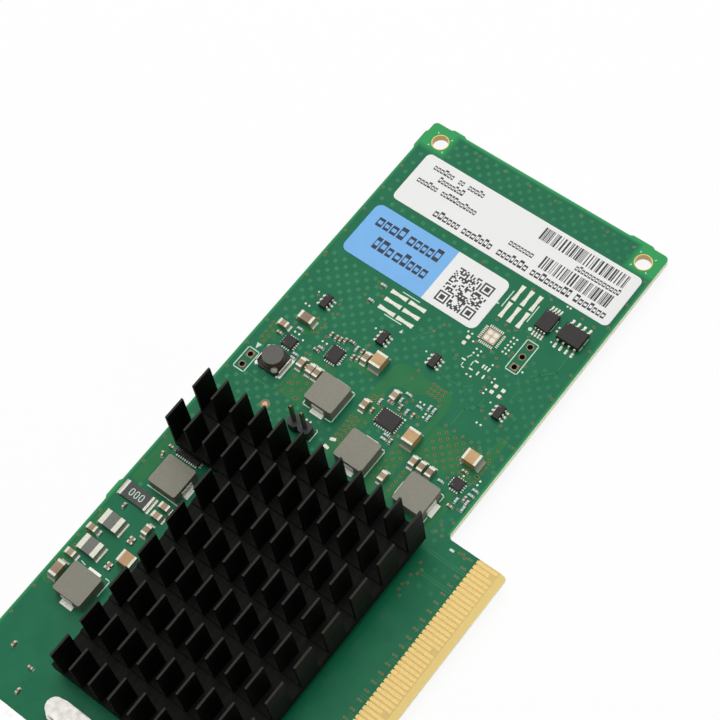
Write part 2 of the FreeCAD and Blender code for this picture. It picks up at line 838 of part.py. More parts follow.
def drum_clips():
    """A metal strip under each side of the carrier, turned up at its edge."""
    clips = []
    u = drum_base / 2
    outline = [(u - 1.2, 0), (u + drum_clip_t, 0), (u + drum_clip_t, drum_base_t + 0.5),
               (u, drum_base_t + 0.5), (u, drum_clip_t), (u - 1.2, drum_clip_t)]
    for side in (90, 270):
        points = [V(a, -drum_clip_w / 2, face_z + b) for a, b in outline]
        strip = prism(points, V(0, drum_clip_w, 0))
        clips.append(turned(strip, drum_x, drum_y, side))
    return group(clips)


# ---------------------------------------------------------------- two-terminal chips
def chip_middle(size, place):
    length, width, height, end = size
    x, y, turn = place
    middle = centred(0, 0, face_z, length - 2 * end, width, height)
    return turned(middle, x, y, turn)


def chip_ends(size, place):
    length, width, height, end = size
    x, y, turn = place
    ends = []
    for side in (-1, 1):
        cap = centred(side * (length - end) / 2, 0, face_z, end, width, height)
        ends.append(turned(cap, x, y, turn))
    return ends


def save_family(name, end_name, families):
    middles = [chip_middle(size, p) for size, places in families for p in places]
    ends = [e for size, places in families for p in places for e in chip_ends(size, p)]
    save(name, group(middles))
    save(end_name, group(ends))


# ---------------------------------------------------------------- integrated circuits
def moulded_body(size, x, y, turn):
    """A package with its widest line at half height, where the leads come out."""
    across, along, height = size[:3]
    low = face_z + body_lift
    mid = (low + face_z + height) / 2
    high = face_z + height
    u = across / 2
    d = body_draft
    outline = [(u - d, low), (u, mid), (u - d, high), (-u + d, high), (-u, mid),
               (-u + d, low)]
    body = prism([V(a, -along / 2, b) for a, b in outline], V(0, along, 0))
    return turned(body, x, y, turn)


def gull_leads(size, x, y, turn):
    across, along, height, span, pitch, count, width = size
    u = across / 2
    tip = span / 2
    mid = face_z + (body_lift + height) / 2
    t = lead_t
    knee = u + 0.25 * (tip - lead_foot - u)
    heel = tip - lead_foot
    outline = [(u, mid - t / 2), (knee, mid - t / 2), (heel, face_z), (tip, face_z),
               (tip, face_z + t), (heel + t / 2, face_z + t), (knee + t, mid + t / 2),
               (u, mid + t / 2)]
    leads = []
    for side in (0, 180):
        for i in range(count):
            v = (i - (count - 1) / 2) * pitch
            lead = prism([V(a, v - width / 2, b) for a, b in outline], V(0, width, 0))
            leads.append(turned(lead, x, y, turn + side))
    return leads


def leaded_packages():
    packages = [(sot_size, x, y, 90) for x, y in sot_places]
    packages.append((soic_size, soic_place[0], soic_place[1], 0))
    packages.append((tssop_size, tssop_place[0], tssop_place[1], 0))
    return packages


def flat_bodies():
    return group([centred(x, y, face_z, sx, sy, flat_h) for sx, sy, x, y in flat_packages])


# ---------------------------------------------------------------- header, crystal, labels
def header_base():
    blocks = []
    half = header_pitch / 2
    cut = header_cut
    outline = [(-half + cut, -half), (half - cut, -half), (half, -half + cut),
               (half, half - cut), (half - cut, half), (-half + cut, half),
               (-half, half - cut), (-half, -half + cut)]
    for x, y in header_places():
        blocks.append(prism([V(x + a, y + b, face_z) for a, b in outline],
                            V(0, 0, header_h)))
    base = fuse(blocks)
    w = pin_w
    return base.cut([centred(x, y, face_z - 1, w, w, header_h + 2)
                     for x, y in header_places()])


def header_pins_shape():
    pins = []
    for x, y in header_places():
        pin = centred(x, y, back_z - tail_out, pin_w, pin_w, pcb_t + tail_out + pin_top)
        tip = [e for e in pin.Edges if abs(e.BoundBox.ZMin - face_z - pin_top) < 0.001]
        pins.append(pin.makeChamfer(pin_w / 4, tip))
    return group(pins)


def crystal_can():
    """A drawn metal can with a flat rim, standing along Y."""
    width, length, height = crystal_size[1], crystal_size[0], crystal_size[2]
    x, y = crystal_x, crystal_y
    rim = rounded_box(x - width / 2, y - length / 2, face_z,
                      x + width / 2, y + length / 2, face_z + crystal_rim_t,
                      width / 2 - 0.01)
    w = width / 2 - crystal_rim
    n = length / 2 - crystal_rim
    can = rounded_box(x - w, y - n, face_z, x + w, y + n, face_z + height, w - 0.01)
    return fuse([rim, can])


def label(spec):
    x0, y0, x1, y1, r = spec
    return rounded_box(x0, y0, face_z, x1, y1, face_z + label_t, r)


# ---------------------------------------------------------------- output
def save_board():
    save("circuit_board", circuit_board())
    save("hole_plating", hole_plating())
    save("header_lands", header_lands())
    save("option_lands", option_lands())
    save("edge_contacts", edge_contacts())
    save("identity_label", label(identity_label))
    save("service_label", label(service_label))


def save_mechanics():
    save("bracket", bracket())
    save("bracket_screws", bracket_screws())
    save("jack_shield", jack_shield())
    save("jack_moulding", jack_moulding())
    save("jack_lenses_left", jack_lenses(0))
    save("jack_lenses_right", jack_lenses(1))
    save("jack_springs", jack_springs())
    save("jack_tails", jack_tails())


def save_cooling():
    save("controller_substrate", controller_substrate())
    save("controller_lid", controller_lid())
    save("thermal_pad", thermal_pad())
    save("heat_sink", heat_sink())
    save("sink_screws", sink_screws())
    save("sink_washers", sink_washers())


def save_power():
    save("power_coils", group([coil_body(x, y) for x, y, turn in power_coils]))
    clips = [c for x, y, turn in power_coils for c in coil_terminals(x, y, turn)]
    save("coil_terminals", group(clips))
    save("drum_carrier", drum_carrier())
    save("drum_core", drum_core())
    save("drum_winding", drum_winding())
    save("drum_clips", drum_clips())
    save_family("ceramic_capacitors", "ceramic_ends",
                [(ceramic_0805, ceramic_places), (ceramic_1206, ceramic_1206_places)])
    save_family("bulk_capacitors", "bulk_ends", [(bulk_size, bulk_places)])
    save_family("ferrite_beads", "bead_ends", [(bead_size, bead_places)])
    save_family("jumper_link", "jumper_ends", [(jumper_size, [jumper_place])])


def save_chips():
    packages = leaded_packages()
    save("leaded_chips", group([moulded_body(*p) for p in packages]))
    save("chip_leads", group([lead for p in packages for lead in gull_leads(*p)]))
    save("leadless_chips", flat_bodies())
    save("header_base", header_base())
    save("header_pins", header_pins_shape())
    save("crystal_can", crystal_can())


def main():
    os.makedirs("parts", exist_ok=True)
    save_board()
    save_mechanics()
    save_cooling()
    save_power()
    save_chips()


main()
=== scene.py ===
import math
import random
from functools import reduce
from typing import NamedTuple

import bmesh
import bpy
from bpy.props import (BoolProperty, FloatProperty, FloatVectorProperty, IntProperty,
                       PointerProperty)
from bpy.types import NodeSocket, Operator, Panel, PropertyGroup
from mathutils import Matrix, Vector


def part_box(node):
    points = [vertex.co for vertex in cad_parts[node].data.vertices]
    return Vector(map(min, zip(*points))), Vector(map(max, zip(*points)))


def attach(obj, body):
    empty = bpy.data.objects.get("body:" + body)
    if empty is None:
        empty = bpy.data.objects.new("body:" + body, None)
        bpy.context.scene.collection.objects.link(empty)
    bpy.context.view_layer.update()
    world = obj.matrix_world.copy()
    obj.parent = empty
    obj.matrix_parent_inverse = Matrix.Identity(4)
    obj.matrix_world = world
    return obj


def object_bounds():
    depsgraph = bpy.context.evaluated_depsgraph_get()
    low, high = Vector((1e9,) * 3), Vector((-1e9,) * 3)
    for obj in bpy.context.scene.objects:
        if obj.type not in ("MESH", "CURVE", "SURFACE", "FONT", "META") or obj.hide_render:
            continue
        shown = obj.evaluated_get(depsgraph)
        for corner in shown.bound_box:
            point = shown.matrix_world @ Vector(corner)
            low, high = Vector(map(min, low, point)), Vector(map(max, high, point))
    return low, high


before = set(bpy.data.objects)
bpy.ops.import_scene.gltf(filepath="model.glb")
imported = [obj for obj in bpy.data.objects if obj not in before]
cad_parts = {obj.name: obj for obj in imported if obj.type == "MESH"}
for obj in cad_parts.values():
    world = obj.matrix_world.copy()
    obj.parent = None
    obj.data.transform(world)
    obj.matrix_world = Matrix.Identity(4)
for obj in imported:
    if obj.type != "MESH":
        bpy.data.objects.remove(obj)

bl_info = {
    "name": "Network Card Dresser",
    "version": (1, 0, 0),
    "blender": (4, 5, 0),
    "location": "3D View > Sidebar > Network Card",
    "description": "Dresses a two-port network interface card with finishes, board "
                   "pattern, small parts, solder, labels and a studio stage",
    "category": "Object",
}

# Places and sizes are in millimetres up to where a mesh or a node takes them in metres.
MM = 0.001
CAD_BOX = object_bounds()
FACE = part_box("circuit_board")[1][2] / MM       # component side of the board
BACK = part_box("circuit_board")[0][2] / MM       # solder side


def tone(red, green, blue):
    """A display colour out of 255 as the linear colour that shaders take."""
    return tuple(math.pow((c / 255 + 0.055) / 1.055, 2.4) if c > 10 else c / 255 / 12.92
                 for c in (red, green, blue))


# Places on the board, in millimetres from the key notch on the contact edge.

# Copper areas that show through the mask.
POURS = [
    [(50.2, 67.0), (56.8, 67.0), (56.9, 63.9), (55.4, 63.4), (54.4, 64.6), (53.6, 65.1),
     (52.4, 63.6), (51.9, 63.8), (52.3, 65.1), (50.2, 65.1)],
    [(55.7, 61.2), (58.2, 58.2), (60.8, 57.9), (60.9, 60.9), (57.6, 61.8)],
    [(44.1, 57.4), (52.4, 57.4), (54.6, 55.4), (53.6, 53.4), (54.4, 50.4), (52.9, 50.2),
     (44.1, 50.6)],
    [(38.3, 42.6), (46.8, 42.7), (55.2, 42.3), (60.9, 42.2), (62.2, 41.5), (62.7, 40.3),
     (62.7, 30.2), (61.9, 29.0), (60.2, 28.2), (49.4, 28.2), (49.4, 29.7), (58.7, 29.6),
     (60.0, 30.7), (60.0, 33.4), (58.4, 35.0), (58.4, 38.4), (57.3, 40.0), (54.6, 39.6),
     (53.4, 38.6), (47.2, 38.6), (46.8, 40.2), (38.3, 40.4)],
    [(37.2, 32.3), (49.2, 32.3), (49.2, 28.5), (40.2, 28.5), (37.2, 29.6)],
    [(38.3, 27.9), (45.6, 27.9), (46.2, 26.3), (38.3, 26.3)],
    [(49.0, 28.0), (55.4, 28.0), (56.1, 27.2), (56.1, 17.0), (60.9, 17.0), (60.9, 15.3),
     (50.0, 15.3), (49.7, 17.0), (50.0, 20.6), (48.2, 21.0), (48.2, 22.4), (49.0, 22.8)],
    [(38.4, 18.2), (46.4, 18.6), (47.0, 17.2), (44.2, 16.2), (37.6, 17.0)],
    [(56.4, 50.2), (58.4, 50.2), (58.4, 43.2), (56.9, 43.2)],
    [(-10.4, 68.1), (7.6, 68.1), (7.6, 66.9), (3.9, 65.9), (-10.4, 65.9)],
    [(14.6, 68.0), (29.0, 68.0), (29.0, 65.4), (14.6, 65.4)],
]

# Where balance squares may lie, the areas without them, the few on the contact tab, the
# heights between which they come to show in full, and the gaps they keep to parts.
SQUARES_AREA = (-52, 14.6, 108.6, 67.6)
SQUARES_FROM = (61.4, 66.7)
SQUARES_FADE = (22, 58)
SQUARE_ROWS, SQUARE_COLUMNS = range(60), range(-20, 22)
PART_GAP, DOT_GAP = 0.9, 1.3
PARTS_ON_FACE = (
    "power_coils coil_terminals drum_clips ceramic_ends bulk_ends bead_ends jumper_ends "
    "leaded_chips chip_leads leadless_chips header_base header_lands option_lands "
    "crystal_can jack_shield heat_sink bracket_screws identity_label service_label "
    "hole_plating")
NO_SQUARES = [(77.5, 14.0, 92.0, 34.0), (54.0, 20.0, 62.0, 30.0)]
TAB_SQUARES = [(32.9, 11.2), (32.8, 9.2), (28.8, 11.7), (28.8, 9.1)]

# Tinned dots: probe points and the ends of missing small parts.
PROBE_DOTS = [(75.3, 27.2), (76.2, 27.2), (77.0, 27.2), (77.9, 27.2), (78.9, 27.2),
              (75.3, 26.4), (76.2, 26.4), (77.0, 26.4), (77.9, 26.4), (78.9, 26.4),
              (75.1, 35.0), (75.1, 34.1), (73.9, 33.0), (72.0, 31.5), (73.0, 31.5),
              (72.0, 30.5), (73.0, 30.5), (67.6, 29.9), (67.6, 29.0), (71.9, 27.0),
              (66.2, 25.0), (67.1, 25.0), (68.9, 25.0), (69.8, 25.0), (73.9, 21.6),
              (60.6, 22.4), (60.6, 21.5), (62.0, 64.2), (62.0, 63.3), (56.0, 62.0),
              (56.0, 61.0), (55.4, 59.6), (57.45, 56.4), (57.45, 55.4), (55.5, 50.7),
              (42.7, 48.5), (42.7, 47.6), (57.9, 33.4), (57.9, 32.5), (55.7, 31.1),
              (56.5, 31.1), (53.3, 33.5), (50.5, 17.9), (50.5, 14.8), (51.4, 14.8),
              (52.4, 19.9), (90.2, 22.8), (90.2, 22.1), (84.7, 21.4), (85.6, 21.4)]
PIN_DOTS = [(65.5, 63.7), (65.5, 49.8), (67.1, 38.95), (65.4, 22.75), (82.2, 20.95),
            (46.3, 63.9), (46.3, 58.8)]
SQUARE_LANDS = [(72.7, 34.3), (74.1, 34.3), (67.3, 23.9), (68.7, 23.9), (67.3, 22.2),
                (68.7, 22.2)]
BAR_LANDS = [(69.85, 32.2, 90), (68.9, 29.9, 90), (70.8, 29.9, 90), (68.9, 28.3, 0),
             (70.7, 28.3, 0), (70.7, 27.7, 0), (68.9, 27.0, 0), (70.7, 27.0, 0)]
BLOB_LANDS = [(40.5, 42.1, 80), (42.4, 42.0, 110)]

# Single strokes of white ink.
SILK = [(68.9, 46.4, 68.9, 50.3), (74.8, 46.4, 74.8, 50.3), (83.2, 33.1, 87.1, 33.1),
        (83.2, 27.2, 87.1, 27.2), (68.4, 31.2, 68.4, 31.9), (68.4, 31.9, 69.2, 31.9),
        (70.6, 31.9, 71.4, 31.5), (69.6, 30.4, 70.4, 30.4), (84.0, 22.4, 86.6, 22.4),
        (83.8, 15.6, 84.7, 15.6), (85.2, 15.6, 86.7, 15.6), (39.5, 45.3, 42.1, 45.3),
        (42.1, 45.3, 42.1, 45.6), (44.9, 44.4, 52.2, 44.4), (52.2, 44.4, 52.2, 45.3),
        (44.9, 44.4, 44.9, 45.9), (44.9, 49.6, 44.9, 51.3), (44.9, 51.3, 46.0, 51.3),
        (39.8, 32.6, 46.1, 32.6), (46.1, 32.6, 46.1, 33.3), (38.9, 18.4, 40.0, 18.4),
        (43.9, 18.4, 45.3, 18.4), (45.3, 18.4, 45.3, 19.2), (15.1, 57.0, 15.1, 64.2),
        (-3.4, 57.3, -6.8, 57.3), (-3.4, 57.3, -3.4, 58.3), (-3.6, 63.2, -3.4, 64.2)]
SILK_BARS = [(37.6, 10.5, 37.6, 11.4)]
SILK_BOXES = [(43.55, 64.7, 48.5, 67.25), (72.8, 22.25, 80.2, 24.85)]
SILK_ARROWS = [[(50.1, 66.5), (50.1, 65.45), (48.8, 65.97)],
               [(67.4, 45.7), (67.4, 45.1), (68.3, 45.4)],
               [(83.0, 34.3), (83.6, 34.3), (83.3, 33.75)]]
SILK_DOTS = [(82.2, 25.8)]
HOLE_TICKS = (2.3, 2.5)     # from the middle of a corner hole to a tick's two ends

# Vias that pierce the copper areas, as first place, steps, counts and the shift of every
# other row, loose ones, and lines of them along the rim.
VIA_FIELDS = [(49.8, 16.0, 2.0, 0.97, 4, 12, 1.0), (42.6, 40.5, 1.1, 0.8, 6, 3, 0.3),
              (40.9, 29.4, 1.9, 1.0, 5, 3, 0.9), (40.3, 27.3, 1.1, 1.0, 6, 1, 0.0),
              (60.3, 30.8, 1.0, 0.92, 3, 4, 0.0), (51.1, 65.6, 1.3, 1.1, 3, 2, 0.5),
              (58.4, 58.3, 1.15, 0.95, 3, 1, 0.0), (44.9, 53.2, 1.9, 1.5, 4, 3, 0.9),
              (50.6, 15.6, 1.15, 1.0, 5, 1, 0.0), (58.1, 15.7, 2.3, 1.0, 2, 1, 0.0),
              (53.2, 40.6, 0.9, 0.8, 2, 2, 0.0), (-9.0, 67.4, 3.6, 1.0, 5, 1, 0.0)]
LOOSE_VIAS = [(57.6, 63.2), (60.9, 60.2), (57.9, 59.2), (55.2, 66.8), (53.0, 55.9),
              (53.6, 57.4), (45.0, 52.9), (53.8, 52.4), (56.7, 55.6), (58.6, 56.4),
              (49.6, 52.4), (47.0, 55.6), (61.0, 37.7), (49.4, 33.4), (49.9, 32.6),
              (53.8, 34.9), (56.4, 35.5), (57.4, 34.8), (53.2, 35.6), (55.2, 32.0),
              (53.9, 31.0), (53.0, 39.0), (55.0, 40.0), (48.6, 39.2), (59.2, 30.1),
              (63.2, 58.5), (65.6, 58.7), (63.7, 57.7), (61.9, 48.6), (64.9, 63.4),
              (70.2, 56.0), (69.0, 54.5), (71.8, 53.0), (73.9, 55.5), (73.1, 54.4),
              (62.6, 46.0), (63.0, 37.7), (69.8, 33.8), (72.4, 29.4), (74.2, 32.4),
              (74.2, 29.0), (73.5, 27.3), (72.2, 26.1), (75.3, 25.6), (76.2, 25.5),
              (80.6, 25.0), (80.6, 23.7), (80.3, 32.1), (80.3, 30.1), (79.5, 28.9),
              (80.5, 27.9), (75.2, 21.9), (69.4, 26.0), (66.2, 25.6), (67.3, 25.6),
              (67.2, 21.6), (62.2, 21.6), (63.1, 23.1), (65.4, 18.0), (62.6, 18.4),
              (57.2, 14.2), (40.4, 15.4), (38.8, 14.1), (38.9, 15.5), (46.4, 13.9),
              (44.6, 14.8), (48.5, 20.1), (72.6, 67.9), (71.4, 40.4), (73.6, 39.6),
              (89.0, 41.8), (89.6, 30.4), (89.7, 26.2), (89.6, 19.0), (89.4, 16.2)]
STITCHES = [(-48.7, 68.1, 6.1, 0, 25), (42, 13.9, 6.1, 0, 11), (108.2, 20, 0, 6.1, 7)]
CONTACT_VIAS = [(30.5, 13.3), (31.5, 13.1), (27.3, 14.3), (28.0, 13.7), (26.2, 14.2),
                (29.6, 14.1), (32.5, 14.1), (25.3, 13.4), (37.7, 8.2), (38.2, 8.8),
                (38.0, 9.5)]
FIDUCIAL = (40.7, 57.0)
LONG_LEAD = 0.9             # leads longer than this have longer lands
LEADLESS_PITCH = 0.5        # lands of the leadless chips
MISSING_PITCH = 0.4         # lands of the missing chip
LUG_TURN = 34.377           # of the drum inductor's solder, in degrees

# Where the copper layers end under the mask: the top edge, the far end, the contact tab's
# shoulders, the middle of the corner holes, and the corners beyond them.
CLEAR_TOP, CLEAR_END = 68.6, 109.5
TAB_MIDDLE, TAB_HALF, TAB_TOP = 13.5, 26.4, 13.25
HOLES_MIDDLE = 40.85
CLEAR_CORNER = (104.0, 21.9)
MASK_FROM, BEVEL_TOP = 5.85, 1.3        # on the contact tab

# Conductors that show faintly under the mask.
TRACES = [[(74.0, 20.0), (75.2, 18.6), (77.6, 16.4), (84.0, 16.6)],
          [(71.4, 40.4), (69.5, 42.0), (67.6, 42.4)], [(62.0, 18.6), (65.0, 18.6)],
          [(57.4, 26.0), (61.6, 26.0), (63.2, 24.2), (65.2, 24.2)],
          [(66.3, 27.6), (64.8, 29.0), (64.8, 33.8), (66.0, 35.2)],
          [(44.0, 58.0), (44.9, 57.1), (49.6, 57.4)], [(43.9, 63.6), (43.9, 58.6)],
          [(68.0, 20.0), (70.6, 20.0), (72.4, 21.6)],
          [(80.2, 27.9), (81.4, 26.6), (81.4, 22.4)], [(89.6, 26.2), (91.0, 28.0)]]
PAIR_SPACING = 0.5          # middle to middle of the two conductors of a pair
PAIRS_FROM = 6.3
CONTACT_PAIRS = [(3, 1.0), (7, 1.4), (11, 0.8), (15, 1.2), (19, 0.6),
                 (23, 1.0), (27, 0.6), (31, 7.0), (35.2, 9.4)]

# Small two-terminal parts as (x, y, turn): pale-blue resistors and brown capacitors.
SMALL_RESISTORS = [(57.0, 61.6, 90), (52.2, 58.9, 90), (51.3, 58.8, 90), (56.1, 55.8, 90),
                   (59.9, 50.0, 0), (53.7, 39.6, 0), (56.1, 36.5, 0), (57.9, 36.1, 90),
                   (54.8, 34.2, 0), (56.9, 32.9, 90), (57.9, 31.2, 0), (56.1, 30.2, 0),
                   (57.9, 30.2, 0), (48.8, 34.4, 90), (47.9, 34.4, 90), (47.2, 20.7, 90),
                   (45.8, 16.1, 0), (45.1, 14.1, 0), (46.5, 14.25, 0), (48.1, 14.5, 90),
                   (49.3, 14.4, 90), (69.8, 54.3, 90), (73.8, 54.3, 90), (2.5, 65.0, 0)]
SMALL_CAPACITORS = [(54.1, 64.3, 90), (55.2, 56.2, 90), (51.3, 55.35, 0), (59.5, 55.8, 0),
                    (59.5, 54.6, 0), (59.6, 53.7, 0), (60.0, 52.8, 0), (60.5, 51.5, 90),
                    (58.0, 49.5, 0), (58.3, 48.5, 0), (60.0, 48.7, 0), (51.3, 39.7, 0),
                    (54.7, 37.9, 90), (54.9, 35.7, 0), (54.8, 32.8, 0), (48.2, 33.0, 0),
                    (51.3, 18.25, 90), (44.2, 16.4, 90), (46.9, 15.0, 0), (9.4, 65.0, 0),
                    (21.5, 66.0, 25), (23.6, 65.6, 90), (-22.5, 63.5, 0), (-24.0, 58.0, 90),
                    (-30.5, 60.5, 0), (-28.5, 57.0, 0), (-26.0, 33.0, 90), (-29.5, 30.0, 0),
                    (-26.4, 26.5, 90), (-29.0, 22.0, 0), (-28.5, 35.5, 0)]
RESISTOR_ROWS = [(-1.3, 59.4), (4.9, 59.3)]

# Decoupling parts behind the controller, on the solder side.
BACK_GRID = (7.0, 33.3, 2.4, 5)

# The heat sink's near end, step, row pitch, cross cuts and their depth, fins and base, and
# the edge that the base has past the fins of the step.
SINK_NEAR, SINK_STEP, SINK_PITCH, SINK_CUT, SINK_GROOVE = -21.8, 23.8, 7.6, 2.9, 0.4
SINK_FIN, SINK_BASE = 9.5, 2.4
SINK_EDGE = (51.0, 53.5)

# How far each thin layer stands up from what it lies on.
POUR_UP, TRACK_UP, SQUARE_UP, VIA_UP = 0.012, 0.014, 0.016, 0.022
INK_UP, DOT_UP, PRINT_UP = 0.026, 0.03, 0.012
LAND_UP, COIL_LAND_UP, LEAD_LAND_UP = 0.05, 0.06, 0.04

# The floor below this area lies in the card's shade.
SHADE = (-50.0, 13.6, 100.0, 69.8)
SHADE_RAMP = 2              # width of its soft edge
FLOOR_REACH = 2.5           # in metres

# Plain print on the labels: words of the title as (from, to), of the other lines as
# (x, from, to), fields of stripes as (x0, x1, from, to), and the square of cells.
TITLE_WORDS = [(15.9, 22.8), (23.9, 32.6), (33.9, 41.2), (42.4, 49.0), (50.2, 56.4)]
DATE_LINES = [(96.9, 49.4, 57.8), (96.9, 58.8, 63.6), (99.1, 54.0, 60.2),
              (101.0, 50.4, 54.2), (101.0, 55.2, 56.9), (101.0, 57.8, 62.8)]
NUMBER_LINES = [(95.4, 34.6, 40.4), (98.0, 16.4, 26.6)]
BAR_FIELDS = [(94.0, 97.0, 16.8, 32.2), (99.3, 102.3, 16.6, 36.0)]
NOTICE_WORDS = [(80.2, 49.0, 56.2), (80.2, 57.2, 62.2), (84.7, 49.0, 56.6),
                (84.7, 57.6, 64.4)]
CODE_AREA = (77.0, 36.2, 85.6, 44.8)
CODE_CELLS = 25


# ------------------------------------------------------------------ user settings
COLOUR = {"subtype": "COLOR", "size": 3, "min": 0, "max": 1}


class BoardLook(PropertyGroup):
    mask: FloatVectorProperty(
        name="Solder mask", description="Green of the mask over bare laminate",
        default=tone(14, 110, 74), **COLOUR)
    pour: FloatVectorProperty(
        name="Copper under mask", description="Green of the mask over a copper area",
        default=tone(34, 116, 66), **COLOUR)
    rim: FloatVectorProperty(
        name="Clear rim", description="Green along the edge, where no copper lies under",
        default=tone(46, 156, 88), **COLOUR)
    balance: FloatVectorProperty(
        name="Balance squares", description="Green of the mask over a balance square",
        default=tone(54, 132, 88), **COLOUR)
    ink: FloatVectorProperty(
        name="Ink", description="Colour of the printed marks",
        default=tone(206, 232, 214), **COLOUR)
    square: FloatProperty(
        name="Balance square", description="Side of a copper balance square",
        unit="LENGTH", default=0.78 * MM, min=0.1 * MM)
    square_pitch: FloatProperty(
        name="Square pitch", description="Distance between squares in a row",
        unit="LENGTH", default=2.54 * MM, min=0.5 * MM)
    stroke: FloatProperty(
        name="Ink stroke", description="Width of an ink line",
        unit="LENGTH", default=0.2 * MM, min=0.05 * MM)
    via_radius: FloatProperty(
        name="Via radius", description="Radius of a tented via's ring",
        unit="LENGTH", default=0.3 * MM, min=0.05 * MM)


class PartLook(PropertyGroup):
    chip_length: FloatProperty(
        name="Small part length", description="Length of the smallest parts",
        unit="LENGTH", default=1.0 * MM, min=0.3 * MM)
    chip_width: FloatProperty(
        name="Small part width", description="Width of the smallest parts",
        unit="LENGTH", default=0.52 * MM, min=0.1 * MM)
    resistor: FloatVectorProperty(
        name="Resistor", description="Colour of the small resistors",
        default=tone(150, 182, 192), **COLOUR)
    capacitor: FloatVectorProperty(
        name="Capacitor", description="Colour of the small capacitors",
        default=tone(158, 120, 98), **COLOUR)
    solder: FloatVectorProperty(
        name="Tin", description="Colour of tinned terminals and lands",
        default=tone(196, 196, 182), **COLOUR)


class MetalLook(PropertyGroup):
    anodised: FloatVectorProperty(
        name="Heat sink", description="Colour of the black anodised heat sink",
        default=tone(18, 17, 15), **COLOUR)
    plated: FloatVectorProperty(
        name="Plated steel", description="Colour of the bracket and the jack's shield",
        default=tone(205, 206, 205), **COLOUR)
    gold: FloatVectorProperty(
        name="Gold", description="Colour of the contacts and plated holes",
        default=tone(182, 156, 98), **COLOUR)


class LabelLook(PropertyGroup):
    paper: FloatVectorProperty(
        name="Paper", description="White of both labels",
        default=tone(236, 236, 234), **COLOUR)
    blue: FloatVectorProperty(
        name="Blue", description="Blue part of the small label",
        default=tone(112, 178, 236), **COLOUR)
    blue_from: FloatProperty(
        name="Blue from", description="Height above the contact edge where blue starts",
        unit="LENGTH", default=46.8 * MM)
    show_print: BoolProperty(
        name="Print", description="Put plain generic print on the labels", default=True)
    seed: IntProperty(
        name="Seed", description="Seed of the print's random blocks, bars and cells",
        default=7)


class StageLook(PropertyGroup):
    camera_at: FloatVectorProperty(
        name="Camera", description="Place of the camera", subtype="TRANSLATION", size=3,
        default=(-56.78 * MM, -78.44 * MM, 320.59 * MM))
    camera_turn: FloatVectorProperty(
        name="Camera turn", description="Turn of the camera", subtype="EULER", size=3,
        default=(math.radians(27.707), math.radians(5.161), math.radians(-52.027)))
    lens: FloatProperty(
        name="Lens", description="Focal length in millimetres", default=96.03, min=10)
    floor_white: FloatProperty(
        name="Floor brightness", description="Whiteness of the floor as the camera sees it",
        default=0.9, min=0, max=1, subtype="FACTOR")
    key_power: FloatProperty(
        name="Key light", description="Power of the large soft light", unit="POWER",
        default=5.4, min=0)
    world_light: FloatProperty(
        name="Room light", description="Strength of the even light all round",
        default=0.11, min=0)


def setting(path):
    """The value of a setting, such as board_look.mask."""
    return bpy.context.scene.path_resolve(path)


# ------------------------------------------------------------------ finishes
class Finish(NamedTuple):
    """How a surface looks."""
    first: object               # tone out of 255, or the setting that holds it
    second: object              # tone out of 255, or a share of the first
    grains: float               # to the metre
    rough: tuple                # least and most
    contrast: float = 0.6
    metallic: float = 0.0
    gloss: float = 0.5
    relief: float = 0.0         # in micrometres
    bump: float = 0.4           # strength of the relief
    threads: float = 0.0        # to the metre, where the relief is a weave
    stretch: tuple = (1, 1, 1)
    share: float = 1.0          # taken of the first tone


